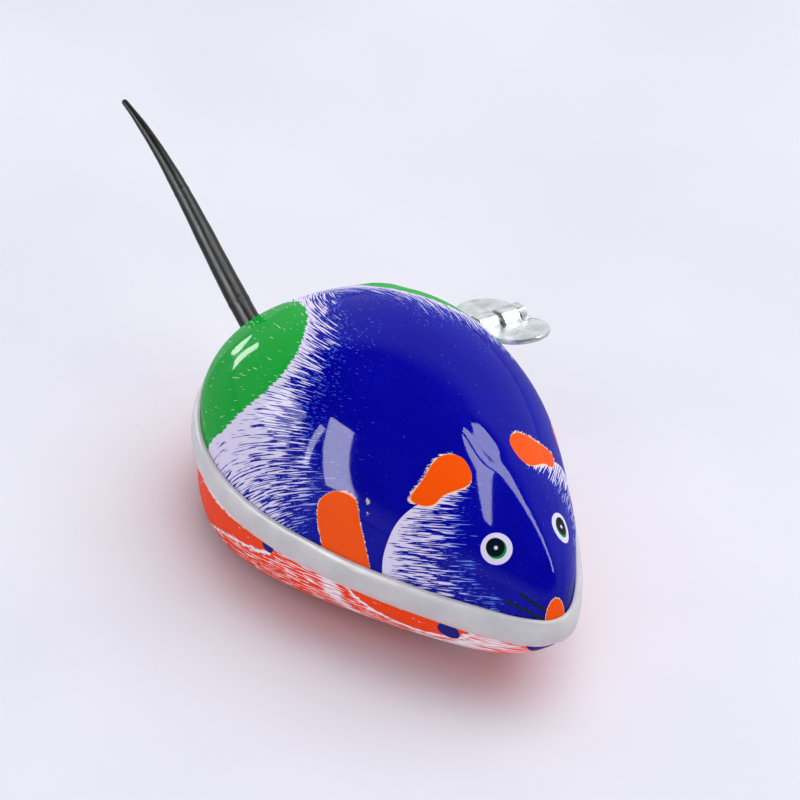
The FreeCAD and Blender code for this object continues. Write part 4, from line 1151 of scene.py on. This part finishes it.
wheel_plastic = plastic_material("wheel_plastic", colour(226, 222, 210), colour(206, 200, 188), 0.4)
rubber = rubber_material()
for side, word in ((1, "left"), (-1, "right")):
    finished(make_tyre("ribbed_tyre_" + word, side), rubber, "drive_axle", "black_rubber", "tyre_" + word)
    finished(make_wheel("moulded_wheel_" + word, side), wheel_plastic, "drive_axle", "wheel_plastic",
             "drive_wheel_" + word)
finished(make_front_wheel(), wheel_plastic, "front_wheel", "wheel_plastic", "front_wheel")

plated = metal_material("plated_sheet", colour(196, 198, 196), colour(158, 160, 158), 0.36, 3.0)
turned = metal_material("turned_steel", colour(186, 188, 190), colour(136, 138, 142), 0.3, 1.2,
                        (1.0, 0.1, 1.0))
brass = metal_material("gear_brass", colour(222, 184, 98), colour(178, 136, 62), 0.32, 1.6, (0.4, 2.0, 0.4))
blued = metal_material("spring_blade", colour(96, 98, 108), colour(56, 58, 70), 0.3, 1.0, (2.0, 0.2, 2.0))
CARRIED = {
    plated: ["motor_plate_left", "motor_plate_right", "front_fork"],
    turned: ["rear_pillar", "front_pillar", "low_rear_pillar", "low_front_pillar", "frame_rivets",
             "fork_rivets", "front_wheel_pin", "winding_arbor", "arbor_collar", "second_arbor", "drive_axle",
             "click_rivet"],
    brass: ["great_wheel", "second_wheel", "second_pinion", "drive_pinion"],
    blued: ["mainspring", "click", "click_spring", "ratchet_wheel"],
}
for material, names in CARRIED.items():
    for name in names:
        paint(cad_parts[name], material)

# ---- floor, light and camera ------------------------------------------------------------------------------


def floor_material():
    """Pale matt paper."""
    finish = Finish("pale_floor", {"Specular IOR Level": 0.15, "Roughness": 0.75}, colour(226, 226, 236))
    place = finish.object_mm()
    finish.lay(colour(232, 232, 241), finish.noise(place, 60.0, 2.0), 0.3, 0.7)
    return finish.done(finish.bump(finish.noise(place, 0.8, 3.0, seed=3.0), 0.02, 0.5))


def make_floor():
    """One level sheet, finely divided near the mouse."""
    marks = [0, 60, 130, 260, 500, 1000, 2500, 6000]
    marks = [-mark for mark in marks[:0:-1]] + marks
    points = [(x, y, FLOOR_Z) for x in marks for y in marks]
    floor = make_piece("floor", points, grid_faces(len(marks), len(marks)))
    floor.data.materials.append(floor_material())


def direction(azimuth, elevation):
    """A unit vector; azimuth 0 is +X and 90 is +Y."""
    turn, lift = math.radians(azimuth), math.radians(elevation)
    return Vector((math.cos(turn) * math.cos(lift), math.sin(turn) * math.cos(lift), math.sin(lift)))


AIM = Vector((0, 0, 18)) * MM
# The world is a pale horizon that stands higher behind the mouse, under a dim ceiling.
HORIZON = (0.10, (1.25, 1.25, 1.3, 1.0))
CEILING = (0.34, (0.10, 0.10, 0.12, 1.0))
GLOW_AZIMUTH = 138
GLOW_RISE = 0.95

# Lamps: name, azimuth, elevation, distance in metres, width, height, power and sideways lean in degrees.
# The windows and strips show only as reflections, and the fills light the paint but leave no reflection.
REFLECTED = [
    ("window", -97, 31, 0.9, 0.17, 0.72, 12.5, 22),
    ("window_side", -108.5, 26, 0.9, 0.045, 0.46, 2.0, 12),
    ("window_far", -128, 21, 0.9, 0.26, 0.42, 4.4, 10),
    ("side_strip", -172, 4, 0.9, 0.09, 0.24, 1.7, 28),
    ("back_window", 68, 46, 1.0, 0.13, 1.1, 10.5, -42),
    ("overhead_strip", 10, 81, 1.0, 0.95, 0.12, 9.5, 18),
]
FILLS = [
    ("overhead_fill", 70, 72, 1.2, 1.4, 1.4, 12.5, 0),
    ("side_fill", -60, 40, 1.2, 1.0, 1.0, 3.4, 0),
]


def softbox(reflected, name, azimuth, elevation, distance, width, height, power, lean):
    """A rectangular area light that faces the mouse, seen only by gloss or only by matt colour."""
    light = bpy.data.lights.new(name, "AREA")
    light.shape = "RECTANGLE"
    light.size = width
    light.size_y = height
    light.energy = power
    holder = bpy.data.objects.new(name, light)
    holder.location = AIM + direction(azimuth, elevation) * distance
    facing = direction(azimuth, elevation).to_track_quat("Z", "Y")
    holder.rotation_euler = (facing @ Quaternion((0, 0, 1), math.radians(lean))).to_euler()
    holder.visible_glossy = reflected
    holder.visible_diffuse = not reflected
    bpy.context.scene.collection.objects.link(holder)


def light_world():
    world = bpy.data.worlds.new("studio")
    bpy.context.scene.world = world
    world.use_nodes = True
    nodes = Nodes(world.node_tree)
    place = nodes.add("TexCoord", {}).outputs["Generated"]
    up = nodes.add("SeparateXYZ", {"Vector": place}).outputs["Z"]
    behind = nodes.math("MAXIMUM", nodes.vector("DOT_PRODUCT", place, direction(GLOW_AZIMUTH, 0)), 0.0)
    ramp = nodes.add("ValToRGB", {"Fac": nodes.math("MULTIPLY_ADD", behind, -GLOW_RISE, up)})
    for element, (height, tint) in zip(ramp.color_ramp.elements, (HORIZON, CEILING)):
        element.position = height
        element.color = tint
    nodes.plug(ramp.outputs["Color"], nodes.tree.nodes["Background"].inputs["Color"])


CAMERA_AZIMUTH = 53.048
CAMERA_ELEVATION = 34.246
CAMERA_ROLL = 6.0
CAMERA_DISTANCE = 860.82
CAMERA_TARGET = (-2.851, 0.092, 24.574)
CAMERA_LENS = 276.2


def set_camera():
    """The camera stands to the mouse's right and ahead of it, above, and leans a little."""
    turn, lift, roll = (math.radians(value) for value in (CAMERA_AZIMUTH, CAMERA_ELEVATION, CAMERA_ROLL))
    back = Vector((math.sin(turn) * math.cos(lift), -math.cos(turn) * math.cos(lift), math.sin(lift)))
    right = Vector((math.cos(turn), math.sin(turn), 0))
    up = back.cross(right)
    leaned_right = right * math.cos(roll) + up * math.sin(roll)
    leaned_up = up * math.cos(roll) - right * math.sin(roll)
    camera = bpy.data.cameras.new("camera")
    camera.lens = CAMERA_LENS
    camera.sensor_width = 36
    camera.clip_end = 20
    holder = bpy.data.objects.new("camera", camera)
    place = (Vector(CAMERA_TARGET) + back * CAMERA_DISTANCE) * MM
    columns = Matrix((leaned_right, leaned_up, back)).transposed().to_4x4()
    holder.matrix_world = Matrix.Translation(place) @ columns
    bpy.context.scene.collection.objects.link(holder)
    bpy.context.scene.camera = holder


make_floor()
light_world()
for lamp in REFLECTED:
    softbox(True, *lamp)
for lamp in FILLS:
    softbox(False, *lamp)
set_camera()
bpy.context.scene.view_settings.view_transform = "Standard"
